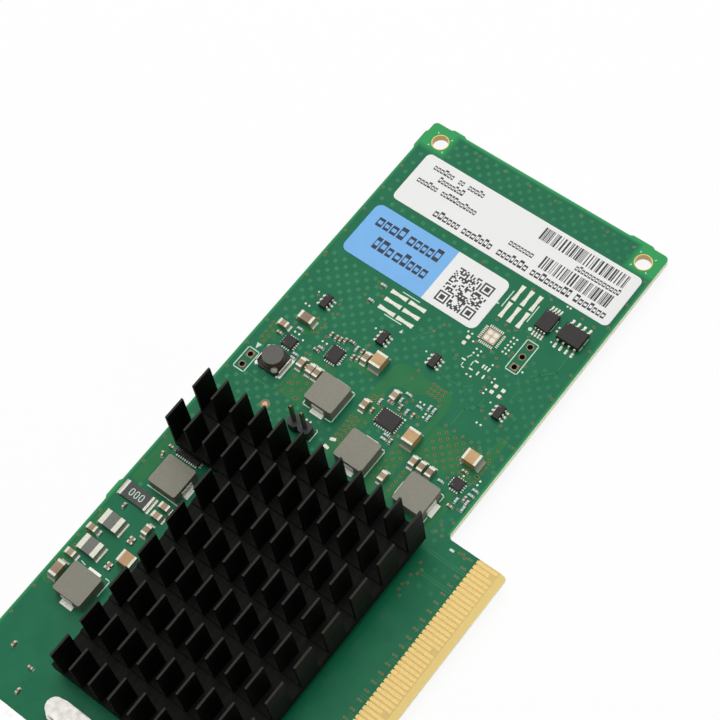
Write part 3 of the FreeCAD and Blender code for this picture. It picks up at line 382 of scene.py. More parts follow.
PAPER = Finish("label_look.paper", 0.96, 2500, (0.42, 0.55), contrast=0.5)
FINISHES = {
    # the board and its ink
    "solder_mask": Finish("board_look.mask", 0.8, 260, (0.3, 0.42), contrast=0.55,
                          gloss=0.15, relief=20, bump=0.12, threads=900),
    "mask_over_copper": Finish("board_look.pour", 0.84, 420, (0.3, 0.42), gloss=0.15),
    "mask_over_square": Finish("board_look.balance", 0.8, 900, (0.3, 0.42), gloss=0.15),
    "mask_over_track": Finish("board_look.balance", 0.7 / 0.85, 900, (0.3, 0.42),
                              gloss=0.15, share=0.85),
    "tented_via": Finish((134, 126, 82), (114, 106, 68), 5200, (0.3, 0.45), contrast=0.7,
                         gloss=0.2),
    "via_middle": Finish((62, 58, 34), (52, 48, 30), 5200, (0.35, 0.5), gloss=0.2),
    "bare_laminate": Finish((122, 126, 84), (108, 112, 74), 3000, (0.5, 0.6)),
    "board_ink": Finish("board_look.ink", 0.9, 6000, (0.5, 0.65)),
    # copper, solder and gold
    "bare_copper": Finish((196, 146, 116), (170, 118, 92), 3000, (0.3, 0.45),
                          metallic=0.6),
    "dull_copper": Finish((142, 112, 90), (122, 94, 74), 3000, (0.35, 0.5), metallic=0.5),
    "paddle_copper": Finish((188, 154, 132), (168, 132, 110), 2600, (0.35, 0.5),
                            contrast=0.7, metallic=0.4),
    "copper_wire": Finish((176, 108, 60), (140, 80, 44), 4200, (0.3, 0.45), metallic=0.7,
                          stretch=(1, 1, 6)),
    "tin": Finish("part_look.solder", 0.8, 4000, (0.3, 0.5), metallic=0.55, relief=10),
    # These two tins are near white and hardly metallic, brighter than tin: painted light on
    # the coil strips, which stand in the coils' shade, and a painted reflection of the
    # white surroundings on the lands
    "land_solder": Finish((246, 246, 238), (226, 226, 216), 4000, (0.3, 0.45),
                          metallic=0.1, relief=10),
    "coil_strip": Finish((250, 249, 240), (234, 232, 220), 4000, (0.35, 0.5),
                         metallic=0.05, relief=10),
    "gold": Finish("metal_look.gold", 0.88, 2600, (0.24, 0.4), metallic=0.85, relief=4),
    # darker than the gold of the contacts: painted shade on the header pins
    "pin_gold": Finish((128, 114, 76), (104, 92, 62), 2600, (0.3, 0.45), metallic=0.85),
    # other metals
    "plated_steel": Finish("metal_look.plated", 0.86, 700, (0.28, 0.42), metallic=0.9,
                           relief=4, stretch=(1, 1, 12)),
    "screw_steel": Finish((190, 190, 188), (160, 160, 160), 1500, (0.25, 0.4),
                          metallic=0.95),
    "nickel_lid": Finish((186, 184, 178), (164, 162, 158), 900, (0.28, 0.42),
                         metallic=0.9),
    "anodised": Finish("metal_look.anodised", 0.72, 1400, (0.5, 0.66), contrast=0.7,
                       relief=12, gloss=0.1, stretch=(0.15, 1, 1)),
    # resins, ferrites and ceramics
    "jack_resin": Finish((34, 34, 36), (24, 24, 26), 2200, (0.45, 0.6), relief=8),
    "header_resin": Finish((36, 35, 39), (28, 27, 31), 2600, (0.45, 0.6)),
    "moulding_compound": Finish((46, 44, 42), (36, 34, 33), 5200, (0.45, 0.62),
                                contrast=0.7, relief=6, gloss=0.3),
    "pin_dimple": Finish((88, 82, 82), (70, 66, 66), 5000, (0.3, 0.45)),
    "light_pipe": Finish((222, 228, 216), (205, 214, 200), 900, (0.12, 0.2)),
    "package_laminate": Finish((38, 92, 56), (30, 78, 46), 1200, (0.35, 0.5)),
    "thermal_pad": Finish((150, 152, 160), (132, 134, 142), 2600, (0.7, 0.85)),
    "pressed_powder": Finish((138, 136, 121), (118, 116, 102), 3600, (0.5, 0.66),
                             relief=20),
    "sintered_ferrite": Finish((112, 112, 104), (94, 94, 88), 3000, (0.4, 0.55),
                               relief=10),
    "drum_ferrite": Finish((78, 77, 71), (66, 65, 60), 3000, (0.36, 0.5), relief=10),
    "tan_ceramic": Finish((172, 146, 112), (128, 106, 82), 130, (0.4, 0.55),
                          contrast=1.0),
    "orange_ceramic": Finish((200, 160, 108), (176, 136, 88), 500, (0.36, 0.5),
                             contrast=0.8),
    "brown_ceramic": Finish("part_look.capacitor", 0.85, 4200, (0.4, 0.55)),
    "pale_resistor": Finish("part_look.resistor", 0.85, 4200, (0.3, 0.45)),
    "black_glaze": Finish((28, 28, 31), (21, 21, 24), 2400, (0.25, 0.4)),
    # labels
    "identity_paper": PAPER,
    "service_paper": PAPER,
    "grey_print": Finish((44, 42, 44), (60, 58, 60), 9000, (0.5, 0.65)),
    "navy_print": Finish((20, 34, 58), (28, 46, 74), 9000, (0.5, 0.65)),
}

# The carried nodes that each finish goes on.
FINISHED_NODES = {
    "solder_mask": "circuit_board", "dull_copper": "header_lands",
    "gold": "hole_plating edge_contacts jack_springs", "pin_gold": "header_pins",
    "tin": "option_lands jack_tails drum_clips ceramic_ends bulk_ends bead_ends "
           "jumper_ends chip_leads",
    "coil_strip": "coil_terminals", "copper_wire": "drum_winding",
    "plated_steel": "bracket jack_shield", "nickel_lid": "controller_lid crystal_can",
    "screw_steel": "bracket_screws sink_screws sink_washers", "anodised": "heat_sink",
    "jack_resin": "jack_moulding", "header_resin": "header_base",
    "moulding_compound": "drum_carrier leaded_chips leadless_chips",
    "light_pipe": "jack_lenses_left jack_lenses_right",
    "package_laminate": "controller_substrate", "thermal_pad": "thermal_pad",
    "pressed_powder": "power_coils", "sintered_ferrite": "ferrite_beads",
    "drum_ferrite": "drum_core", "tan_ceramic": "ceramic_capacitors",
    "orange_ceramic": "bulk_capacitors", "black_glaze": "jumper_link",
    "identity_paper": "identity_label", "service_paper": "service_label",
}


# ------------------------------------------------------------------ node helpers
def put(tree, kind, inputs=None, **settings):
    """A node with its settings, and each input given a value or a link."""
    made = tree.nodes.new(kind)
    for name, value in settings.items():
        setattr(made, name, value)
    for name, value in (inputs or {}).items():
        if isinstance(value, NodeSocket):
            tree.links.new(value, made.inputs[name])
        else:
            made.inputs[name].default_value = value
    return made


def maths(tree, operation, *values):
    """One operation on sockets or numbers."""
    inputs = dict(enumerate(values))
    return put(tree, "ShaderNodeMath", inputs, operation=operation).outputs[0]


def run_through(tree, operation, values):
    """One operation carried through several values."""
    return reduce(lambda first, second: maths(tree, operation, first, second), values)


def past(tree, place, limit):
    """How far a place lies past a limit in metres, where a number is in millimetres."""
    ends = [v if isinstance(v, NodeSocket) else v * MM for v in (place, limit)]
    return maths(tree, "SUBTRACT", *ends)


def blend_tone(tree, share, first, second):
    """Two tones, each a socket or a colour, mixed by a share of the second."""
    ends = [v if isinstance(v, NodeSocket) else (*v, 1) for v in (first, second)]
    inputs = {0: share, 6: ends[0], 7: ends[1]}
    return put(tree, "ShaderNodeMix", inputs, data_type="RGBA").outputs[2]


def position(tree, kind="Object"):
    """The X, Y and Z of a point of the piece, or of its normal."""
    place = put(tree, "ShaderNodeTexCoord")
    return put(tree, "ShaderNodeSeparateXYZ", {0: place.outputs[kind]}).outputs


def upright_share(tree):
    """One on faces that stand upright, and nothing on level ones."""
    return maths(tree, "LESS_THAN",
                 maths(tree, "ABSOLUTE", position(tree, "Normal")["Z"]), 0.5)


def scaled(colour, factor):
    return tuple(min(1.0, c * factor) for c in colour)


def new_group(name, inputs, outputs, kind="ShaderNodeTree"):
    """A node group from sockets as (name, type, default), the last where there is one."""
    group = bpy.data.node_groups.new(name, kind)
    for direction, sockets in (("INPUT", inputs), ("OUTPUT", outputs)):
        for label, sort, *default in sockets:
            socket = group.interface.new_socket(name=label, in_out=direction,
                                                socket_type="NodeSocket" + sort)
            if default:
                socket.default_value = default[0]
    source, target = group.nodes.new("NodeGroupInput"), group.nodes.new("NodeGroupOutput")
    return group, source.outputs, target.inputs


def kept_group(name):
    """Has a function build the group of this name once, and hands it out after that."""
    return lambda build: lambda: bpy.data.node_groups.get(name) or build(name)


@kept_group("Uneven Tone")
def uneven_tone(name):
    """Two tones mixed by fine cloudy grain, with the grain itself for gloss and relief."""
    group, source, target = new_group(
        name, [("Tone", "Color"), ("Second Tone", "Color"),
               ("Grains per Metre", "Float", 900.0), ("Stretch", "Vector", (1, 1, 1)),
               ("Contrast", "Float", 0.5)], [("Tone", "Color"), ("Grain", "Float")])
    place = put(group, "ShaderNodeTexCoord")
    stretched = put(group, "ShaderNodeMapping", {"Vector": place.outputs["Object"],
                                                 "Scale": source["Stretch"]})
    cloud = put(group, "ShaderNodeTexNoise",
                {"Vector": stretched.outputs[0], "Scale": source["Grains per Metre"],
                 "Detail": 4.0, "Roughness": 0.6})
    spread = put(group, "ShaderNodeMapRange",
                 {"Value": cloud.outputs[0], "From Min": 0.3, "From Max": 0.7})
    share = maths(group, "MULTIPLY", spread.outputs[0], source["Contrast"])
    mixed = blend_tone(group, share, source["Tone"], source["Second Tone"])
    group.links.new(mixed, target["Tone"])
    group.links.new(spread.outputs[0], target["Grain"])
    return group


@kept_group("Glass Weave")
def glass_weave(name):
    """Relief of the woven glass under a lacquer: two crossing sets of fine waves."""
    group, source, target = new_group(name, [("Threads per Metre", "Float", 1600.0)],
                                      [("Height", "Float")])
    place = put(group, "ShaderNodeTexCoord")
    waves = [put(group, "ShaderNodeTexWave",
                 {"Vector": place.outputs["Object"], "Scale": source["Threads per Metre"],
                  "Distortion": 0.6}, bands_direction=axis).outputs["Fac"]
             for axis in ("X", "Y")]
    group.links.new(maths(group, "ADD", *waves), target["Height"])
    return group


# ------------------------------------------------------------------ zones of a finish
def board_zones(tree, plain):
    """Brighter rim, bare laminate round the contacts with painted shade that keeps it
    darker than their bevel, and raw sides.
    """
    x, y, _ = position(tree)
    off_holes = maths(tree, "ABSOLUTE", past(tree, y, HOLES_MIDDLE))
    corner = maths(tree, "MINIMUM", past(tree, x, CLEAR_CORNER[0]),
                   past(tree, off_holes, CLEAR_CORNER[1]))
    off_tab = maths(tree, "ABSOLUTE", past(tree, x, TAB_MIDDLE))
    shoulder = maths(tree, "MINIMUM", past(tree, TAB_TOP, y), past(tree, off_tab, TAB_HALF))
    edge = run_through(tree, "MAXIMUM", [past(tree, y, CLEAR_TOP), past(tree, x, CLEAR_END),
                                         shoulder, maths(tree, "MULTIPLY", corner, 0.5)])
    rim = put(tree, "ShaderNodeMapRange", {"Value": edge, "From Min": -0.4 * MM,
                                           "From Max": 0.3 * MM})
    for share, colour in (
            (rim.outputs[0], setting("board_look.rim")),
            # bare laminate of the tab, darker than the bevel: painted shade between the
            # fingers
            (maths(tree, "LESS_THAN", y, MASK_FROM * MM), tone(222, 192, 122)),
            (maths(tree, "LESS_THAN", y, BEVEL_TOP * MM), tone(240, 212, 134)),
            (upright_share(tree), tone(238, 240, 206))):
        plain = blend_tone(tree, share, plain, colour)
    return plain


def label_zones(tree, plain):
    """White paper that is blue from one height on."""
    blue = setting("label_look.blue")
    cloud = put(tree, "ShaderNodeGroup",
                {"Tone": (*blue, 1), "Second Tone": (*scaled(blue, 0.94), 1),
                 "Grains per Metre": 300.0, "Contrast": 0.6}, node_tree=uneven_tone())
    above = maths(tree, "GREATER_THAN", position(tree)["Y"],
                  setting("label_look.blue_from"))
    return blend_tone(tree, above, plain, cloud.outputs["Tone"])


def square_zones(tree, plain):
    """Squares that show less towards the contact edge."""
    low, high = SQUARES_FADE
    show = put(tree, "ShaderNodeMapRange",
               {"Value": position(tree)["Y"], "From Min": low * MM, "From Max": high * MM,
                "To Min": 0.5, "To Max": 1.0})
    return blend_tone(tree, show.outputs[0], setting("board_look.mask"), plain)


def land_wall_painted_shade(tree, plain):
    """Drilled walls darkened with painted shade."""
    return blend_tone(tree, upright_share(tree), plain, tone(58, 30, 18))


def sink_top_painted_highlight(tree, plain):
    """Paler tops of the fins: a painted highlight where the light from above catches them.
    """
    top = maths(tree, "GREATER_THAN", position(tree)["Z"],
                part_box("heat_sink")[1][2] - 0.06 * MM)
    return blend_tone(tree, top, plain, scaled(setting("metal_look.anodised"), 5.5))


ZONES = {"solder_mask": board_zones, "service_paper": label_zones,
         "mask_over_square": square_zones, "dull_copper": land_wall_painted_shade,
         "anodised": sink_top_painted_highlight}


def finish(name):
    """The material of a finish, whose colour, gloss and relief all vary with a grain."""
    if "finish_" + name in bpy.data.materials:
        return bpy.data.materials["finish_" + name]
    look = FINISHES[name]
    first = setting(look.first) if isinstance(look.first, str) else tone(*look.first)
    first = scaled(first, look.share)
    second = scaled(first, look.second) if isinstance(look.second, float) \
        else tone(*look.second)
    material = bpy.data.materials.new("finish_" + name)
    material.use_nodes = True
    tree = material.node_tree
    shader = tree.nodes["Principled BSDF"].inputs
    shader["Metallic"].default_value = look.metallic
    shader["Specular IOR Level"].default_value = look.gloss
    grain = put(tree, "ShaderNodeGroup",
                {"Tone": (*first, 1), "Second Tone": (*second, 1),
                 "Grains per Metre": look.grains, "Stretch": look.stretch,
                 "Contrast": look.contrast}, node_tree=uneven_tone())
    colour, height = grain.outputs["Tone"], grain.outputs["Grain"]
    if name in ZONES:
        colour = ZONES[name](tree, colour)
    tree.links.new(colour, shader["Base Color"])
    polish = put(tree, "ShaderNodeMapRange", {"Value": height, "To Min": look.rough[0],
                                              "To Max": look.rough[1]})
    tree.links.new(polish.outputs[0], shader["Roughness"])
    if look.threads:
        height = put(tree, "ShaderNodeGroup", {"Threads per Metre": look.threads},
                     node_tree=glass_weave()).outputs[0]
    if look.relief:
        bump = put(tree, "ShaderNodeBump", {"Height": height, "Strength": look.bump,
                                            "Distance": look.relief * 1e-6})
        tree.links.new(bump.outputs[0], shader["Normal"])
    return material


# ------------------------------------------------------------------ mesh helpers
def skin(bm, loops, ring=False, unit=1.0):
    """Walls from each loop of points to the next, with two ends or round in a ring."""
    loops = [[bm.verts.new([side * unit for side in point]) for point in loop]
             for loop in loops]
    ends = [] if ring else [bm.faces.new(loops[0]), bm.faces.new(loops[-1])]
    for low, high in zip(loops, loops[1:] + (loops[:1] if ring else [])):
        for i in range(len(low)):
            j = (i + 1) % len(low)
            bm.faces.new((low[i], low[j], high[j], high[i]))
    return ends


def mesh_from(build):
    """A mesh from a function that fills a bmesh."""
    bm = bmesh.new()
    build(bm)
    bmesh.ops.recalc_face_normals(bm, faces=bm.faces)
    mesh = bpy.data.meshes.new("part")
    bm.to_mesh(mesh)
    bm.free()
    return mesh


def plates(outlines, low, thick, unit=MM):
    """A builder of flat closed plates, one for each outline of (x, y)."""
    def build(bm):
        for outline in outlines:
            ends = skin(bm, [[(x, y, z) for x, y in outline] for z in (low, low + thick)],
                        unit=unit)
            bmesh.ops.triangulate(bm, faces=ends)
    return build


def corners(x0, y0, x1, y1):
    return [(x0, y0), (x1, y0), (x1, y1), (x0, y1)]


def eased(outline, reach):
    """An outline with each corner cut by a short arc."""
    points = []
    for i, corner in enumerate(outline):
        here = Vector(corner)
        arc = []
        for other in (outline[i - 1], outline[(i + 1) % len(outline)]):
            away = Vector(other) - here
            cut = here + away.normalized() * min(reach, away.length * 0.4)
            arc += [cut, (cut * 2 + here) / 3]
        points += [arc[0], arc[1], arc[3], arc[2]]
    return points


def circle(sides, radius=1.0, z=0.0):
    turns = [2 * math.pi * i / sides for i in range(sides)]
    return [(radius * math.cos(a), radius * math.sin(a), z) for a in turns]


def block(bevel):
    """A unit block that stands on the origin, with its edges softened."""
    def build(bm):
        bmesh.ops.create_cube(bm, size=1.0)
        bmesh.ops.translate(bm, vec=(0, 0, 0.5), verts=bm.verts)
        bmesh.ops.bevel(bm, geom=list(bm.edges), offset=bevel, segments=1,
                        affect="EDGES")
    return build


# A plain stand-in for a letter: an empty upright frame of unit size.
letter_block = plates([corners(-0.5, -0.5, -0.2, 0.5), corners(0.2, -0.5, 0.5, 0.5),
                       corners(-0.2, -0.5, 0.2, -0.34), corners(-0.2, 0.34, 0.2, 0.5)],
                      0, 1, unit=1)


def zero_ring(bm):
    """An upright oval ring of unit size, as on a link of no resistance."""
    def oval(share, z):
        return [(math.copysign(abs(x) ** 0.7, x) * (share + 1) / 4,
                 math.copysign(abs(y) ** 0.7, y) * share / 2, z)
                for x, y, _ in circle(20)]
    skin(bm, [oval(1, 0), oval(1, 1), oval(0.58, 1), oval(0.58, 0)], ring=True)


def via_ring(bm):
    """A flat ring of unit radius and height."""
    skin(bm, [circle(9, radius, z) for radius, z in ((1, 0), (1, 1), (0.5, 1), (0.5, 0))],
         ring=True)


def solder_toe(bm):
    """A unit wedge of solder: highest at the origin, run out at x = 1, hollow faced."""
    profile = [(0, 0), (1, 0), (0.95, 0.1), (0.45, 0.28), (0.16, 0.62), (0, 1)]
    skin(bm, [[(x, y, z) for x, z in profile] for y in (-0.5, 0.5)])


def solder_cone(bm):
    """A unit joint round a pin: a hollow-sided cone with a rounded rim."""
    skin(bm, [circle(14, *ring) for ring in ((1, 0), (0.9, 0.12), (0.55, 0.42), (0.36, 1))])


# ------------------------------------------------------------------ carried parts
class Solid(NamedTuple):
    """The box of a node, or of one solid of it."""
    low: Vector
    high: Vector
    middle: Vector
    size: Vector


def boxed(low, high):
    low, high = Vector(low) / MM, Vector(high) / MM
    return Solid(low, high, (low + high) / 2, high - low)


def islands(node):
    """Each separate solid of a node."""
    bm = bmesh.new()
    bm.from_mesh(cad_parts[node].data)
    bmesh.ops.remove_doubles(bm, verts=bm.verts, dist=1e-6)
    seen, solids = set(), []
    for start in bm.verts:
        if start in seen:
            continue
        seen.add(start)
        found = [start]
        for vertex in found:
            fresh = {edge.other_vert(vertex) for edge in vertex.link_edges} - seen
            seen |= fresh
            found += fresh
        places = list(zip(*(vertex.co for vertex in found)))
        solids.append(boxed(map(min, places), map(max, places)))
    bm.free()
    return solids


def nearest(solids, place):
    return min(solids, key=lambda solid: (solid.middle - place).length)


# ------------------------------------------------------------------ geometry trees
def point_value(tree, name, kind="FLOAT"):
    return put(tree, "GeometryNodeInputNamedAttribute", {"Name": name},
               data_type=kind).outputs[0]


def copies_tree(name, *inputs):
    """Has a function give the shape and size that a tree puts on every point, where each
    copy is turned by "turn", made real and finished."""
    def wrap(shape_of):
        @kept_group(name)
        def build(name):
            tree, source, target = new_group(
                name, [("Geometry", "Geometry"), *inputs, ("Finish", "Material")],
                [("Geometry", "Geometry")], "GeometryNodeTree")
            shape, size = shape_of(tree, source)
            spin = put(tree, "ShaderNodeCombineXYZ", {"Z": point_value(tree, "turn")})
            copies = put(tree, "GeometryNodeInstanceOnPoints",
                         {"Points": source["Geometry"], "Instance": shape,
                          "Rotation": spin.outputs[0], "Scale": size})
            real = put(tree, "GeometryNodeRealizeInstances", {0: copies.outputs[0]})
            done = put(tree, "GeometryNodeSetMaterial", {"Geometry": real.outputs[0],
                                                         "Material": source["Finish"]})
            tree.links.new(done.outputs[0], target["Geometry"])
            return tree
        return build
    return wrap


@copies_tree("Flat Strokes", ("Width", "Float", 0.2 * MM), ("Height", "Float", 0.02 * MM))
def flat_strokes(tree, source):
    """Flat bars, each as long as its "span"."""
    bar = put(tree, "GeometryNodeMeshCube", {"Size": (1, 1, 1)})
    size = put(tree, "ShaderNodeCombineXYZ", {"X": point_value(tree, "span"),
                                              "Y": source["Width"], "Z": source["Height"]})
    return bar.outputs["Mesh"], size.outputs[0]


@copies_tree("Round Dots", ("Radius", "Float", 0.2 * MM), ("Height", "Float", 0.02 * MM),
             ("Sides", "Int", 10))
def round_dots(tree, source):
    """Flat round dots of one size."""
    disc = put(tree, "GeometryNodeMeshCylinder",
               {"Vertices": source["Sides"], "Radius": source["Radius"],
                "Depth": source["Height"]})
    return disc.outputs["Mesh"], (1, 1, 1)


@copies_tree("Part Copies", ("Part", "Object"))
def part_copies(tree, source):
    """Copies of a given part, each stretched to its "size"."""
    part = put(tree, "GeometryNodeObjectInfo", {"Object": source["Part"]})
    return part.outputs["Geometry"], point_value(tree, "size", "FLOAT_VECTOR")


# ------------------------------------------------------------------ pieces
def new_piece(name, mesh):
    """An object at the origin that rides with the card."""
    piece = bpy.data.objects.new(name, mesh)
    bpy.context.collection.objects.link(piece)
    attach(piece, "root")


def make_piece(name, build, look, slot):
    """One piece from a function that fills a bmesh."""
    mesh = mesh_from(build)
    mesh.materials.append(finish(look))
    new_piece(name, mesh)


def grow(name, tree, points, values, look, slot, **fields):
    """Run a tree on points with fields, in metres, and keep the result as plain mesh."""
    seeds = bpy.data.meshes.new(name + "_points")
    seeds.from_pydata(points, [], [])
    for field, numbers in fields.items():
        many = isinstance(numbers[0], tuple)
        made = seeds.attributes.new(field, "FLOAT_VECTOR" if many else "FLOAT", "POINT")
        made.data.foreach_set("vector" if many else "value",
                              [n for row in numbers for n in row] if many else numbers)
    holder = bpy.data.objects.new(name + "_points", seeds)
    bpy.context.collection.objects.link(holder)
    modifier = holder.modifiers.new("Grow", "NODES")
    modifier.node_group = tree
    values = dict(values, Finish=finish(look))
    for item in tree.interface.items_tree:
        if item.name in values:
            modifier[item.identifier] = values[item.name]
    bpy.context.view_layer.update()
    evaluated = holder.evaluated_get(bpy.context.evaluated_depsgraph_get())
    mesh = bpy.data.meshes.new_from_object(evaluated)
    mesh.name = name
    holder.modifiers.remove(modifier)
    bpy.data.objects.remove(holder)
    bpy.data.meshes.remove(seeds)
    if not mesh.polygons:
        raise RuntimeError(name + " came out empty")
    for field in fields:
        mesh.attributes.remove(mesh.attributes[field])
    if "size" in fields and fields["size"][0][2] < 0:
        mesh.flip_normals()         # parts that hang down are mirrored, so inside out
    new_piece(name, mesh)


def metres(*sides):
    return tuple(side * MM for side in sides)


def at(x, y, size, turn=0, z=FACE):
    """A row for grow_parts, from millimetres and degrees."""
    return metres(x, y, z), metres(*size), math.radians(turn)


def grow_parts(name, build, rows, look, slot):
    """Copies of a part that a function builds, without keeping the part itself."""
    mesh = mesh_from(build)
    part = bpy.data.objects.new(name + "_part", mesh)
    bpy.context.collection.objects.link(part)
    places, sizes, turns = zip(*rows)
    grow(name, part_copies(), places, {"Part": part}, look, slot, size=sizes, turn=turns)
    bpy.data.objects.remove(part)
    bpy.data.meshes.remove(mesh)


def grow_strokes(name, strokes, width, height, look, slot, run_on=1):
    """Bars on the board from (x0, y0, x1, y1), each run_on widths longer."""
    middles, spans, turns = [], [], []
    for x0, y0, x1, y1 in strokes:
        middles.append(metres((x0 + x1) / 2, (y0 + y1) / 2, FACE + height / 2))
        spans.append((math.hypot(x1 - x0, y1 - y0) + width * run_on) * MM)
        turns.append(math.atan2(y1 - y0, x1 - x0))
    grow(name, flat_strokes(), middles, {"Width": width * MM, "Height": height * MM}, look,
         slot, span=spans, turn=turns)


def grow_dots(name, places, radius, height, sides, look, slot):
    """Flat dots on the board, or at a place's own height where it has one."""
    points = [metres(x, y, (z[0] if z else FACE) + height / 2) for x, y, *z in places]
    values = {"Radius": radius * MM, "Height": height * MM, "Sides": sides}
    grow(name, round_dots(), points, values, look, slot)


def grow_rings(name, places, radius, z=FACE, up=1):
    """Rings of tented vias on one side of the board."""
    rows = [at(x, y, (radius, radius, up * VIA_UP), z=z) for x, y in places]
    grow_parts(name, via_ring, rows, "tented_via", "board_mask")


def grow_chips(name, table, height, look, slot, z=FACE):
    """Two-terminal parts from (x, y, turn), with their ends and solder."""
    settings = bpy.context.scene.part_look
    length, width = settings.chip_length / MM, settings.chip_width / MM
    end = length * 0.26
    bodies, ends, toes = [], [], []
    for x, y, turn in table:
        bodies.append(at(x, y, (length - 2 * end, width, height), turn, z))
        for way in (turn, turn + 180):
            across, along = math.cos(math.radians(way)), math.sin(math.radians(way))
            reach = (length - end) / 2
            ends.append(at(x + reach * across, y + reach * along,
                           (end, width * 1.05, height * 1.04), way, z))
            reach = length / 2
            toes.append(at(x + reach * across, y + reach * along,
                           (0.22, width * 1.1, height * 0.6), way, z))
    grow_parts(name, block(0.05), bodies, look, slot)
    grow_parts(name + "_ends", block(0.12), ends, "tin", "solder")
    grow_parts(name + "_toes", solder_toe, toes, "tin", "solder")


def via_places():
    places = list(LOOSE_VIAS)
    for x, y, dx, dy, columns, rows, shift in VIA_FIELDS:
        places += [(x + column * dx + (row % 2) * shift, y + row * dy)
                   for row in range(rows) for column in range(columns)]
    for x, y, dx, dy, count in STITCHES:
        places += [(x + i * dx, y + i * dy) for i in range(count)]
    return places


# ------------------------------------------------------------------ operators
class CARD_OT_finishes(Operator):
    """Gives every carried node its finish"""
    bl_idname = "card.finishes"
    bl_label = "Finish the Frame"

    def execute(self, context):
        looks = {node: look for look, nodes in FINISHED_NODES.items()
                 for node in nodes.split()}
        for name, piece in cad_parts.items():
            if name not in looks:
                raise RuntimeError("no finish for node " + name)
            piece.data.materials.clear()
            piece.data.materials.append(finish(looks[name]))
        return {"FINISHED"}


class CARD_OT_sink_edge(Operator):
    """Carries the heat sink's base and its cross cuts out past the fins of the step"""
    bl_idname = "card.sink_edge"
    bl_label = "Sink Base Edge"

    def execute(self, context):
        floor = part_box("heat_sink")[1][2] / MM - SINK_FIN
        under, groove = floor - SINK_BASE, floor - SINK_GROOVE
        profile = [(SINK_NEAR, under), (SINK_NEAR, floor)]
        for row in range(round((SINK_STEP - SINK_NEAR) / SINK_PITCH)):
            far = SINK_NEAR + (row + 1) * SINK_PITCH
            near = far - SINK_CUT
            profile += [(near, floor), (near, groove), (far, groove), (far, floor)]
        profile[-1] = (SINK_STEP, under)
        loops = [[(x, y, z) for x, z in profile] for y in SINK_EDGE]
        make_piece("sink_base_edge", lambda bm: skin(bm, loops, unit=MM), "anodised",
                   "black_anodised")
        return {"FINISHED"}


class CARD_OT_copper(Operator):
    """Lays the copper areas, balance squares, vias and conductors under the mask"""
    bl_idname = "card.copper"
    bl_label = "Copper Pattern"

    def execute(self, context):
        look = context.scene.board_look
        areas = [eased(outline, 0.6) for outline in POURS]
        make_piece("copper_areas", plates(areas, FACE, POUR_UP), "mask_over_copper",
                   "board_mask")
        side, radius = look.square / MM, look.via_radius / MM
        squares = [at(x, y, (side, side, SQUARE_UP)) for x, y in self.squares(look)]
        grow_parts("balance_squares", block(0.12), squares, "mask_over_square",
                   "board_mask")
        places = via_places() + CONTACT_VIAS
        grow_rings("vias", places, radius)
        grow_dots("via_middles", places, radius * 0.46, 0.012, 8, "via_middle",
                  "board_mask")
        pairs = [(x + 0.04, y) for x in range(-10, 39, 2) for y in (7.0, 7.6)
                 if abs(x) > 1.5]
        grow_rings("contact_vias", pairs, radius * 0.9)
        grow_strokes("traces", self.strokes(), 0.22, TRACK_UP, "mask_over_track",
                     "board_mask")
        grow_dots("fiducial_ring", [FIDUCIAL], 1.0, 0.02, 28, "bare_laminate",
                  "board_mask")
        grow_dots("fiducial_dot", [FIDUCIAL], 0.5, 0.035, 24, "bare_copper", "gold_plate")
        return {"FINISHED"}

    def strokes(self):
        """The loose conductors, and the pairs that leave the contacts."""
        strokes = [(*a, *b) for trace in TRACES for a, b in zip(trace, trace[1:])]
        for x, rise in CONTACT_PAIRS:
            for line in (x - PAIR_SPACING / 2, x + PAIR_SPACING / 2):
                strokes.append((line, PAIRS_FROM, line, PAIRS_FROM + rise))
        return strokes

    def squares(self, look):
        """Staggered rows of squares, left out under copper areas and near parts."""
        pitch = look.square_pitch / MM
        parts = [(*solid.low.xy, *solid.high.xy) for node in PARTS_ON_FACE.split()
                 for solid in islands(node)]
        dots = [place[:2] for place in PROBE_DOTS + PIN_DOTS + SQUARE_LANDS + BAR_LANDS
                + SMALL_RESISTORS + SMALL_CAPACITORS]
        places = []
        for row in SQUARE_ROWS:
            y = SQUARES_FROM[1] - row * pitch / 2
            for column in SQUARE_COLUMNS:
                x = SQUARES_FROM[0] + column * pitch + (row % 2) * pitch / 2
                if within(x, y, *SQUARES_AREA) and not (
                        any(within(x, y, *part, PART_GAP) for part in parts)
                        or any(math.hypot(x - a, y - b) < DOT_GAP for a, b in dots)
                        or any(within(x, y, *area) for area in NO_SQUARES)
                        or any(in_polygon(x, y, outline) for outline in POURS)):
                    places.append((x, y))
        return places + TAB_SQUARES


def within(x, y, x0, y0, x1, y1, gap=0):
    return x0 - gap < x < x1 + gap and y0 - gap < y < y1 + gap


def in_polygon(x, y, outline):
    inside = False
    for (x0, y0), (x1, y1) in zip(outline, outline[1:] + outline[:1]):
        if (y0 > y) != (y1 > y) and x < (x1 - x0) * (y - y0) / (y1 - y0) + x0:
            inside = not inside
    return inside


class CARD_OT_ink(Operator):
    """Prints the white marks on the board"""
    bl_idname = "card.ink"
    bl_label = "Board Ink"

    def execute(self, context):
        stroke = context.scene.board_look.stroke / MM
        strokes = list(SILK)
        for box in SILK_BOXES:
            ring = corners(*box)
            strokes += [(*a, *b) for a, b in zip(ring, ring[1:] + ring[:1])]
        for hole in islands("hole_plating"):
            x, y, _ = hole.middle
            for corner in (45, 135, 225, 315):
                a = math.radians(corner)
                near, far = [(x + reach * math.cos(a), y + reach * math.sin(a))
                             for reach in HOLE_TICKS]
                strokes.append((*near, *far))
        kind = "board_ink", "white_label"
        grow_strokes("ink_lines", strokes, stroke, INK_UP, *kind)
        grow_strokes("ink_bars", SILK_BARS, 2.4 * stroke, INK_UP, *kind, run_on=0)
        grow_dots("ink_dots", SILK_DOTS, 0.4, INK_UP, 18, *kind)
        make_piece("ink_arrows", plates(SILK_ARROWS, FACE, INK_UP), *kind)
        return {"FINISHED"}


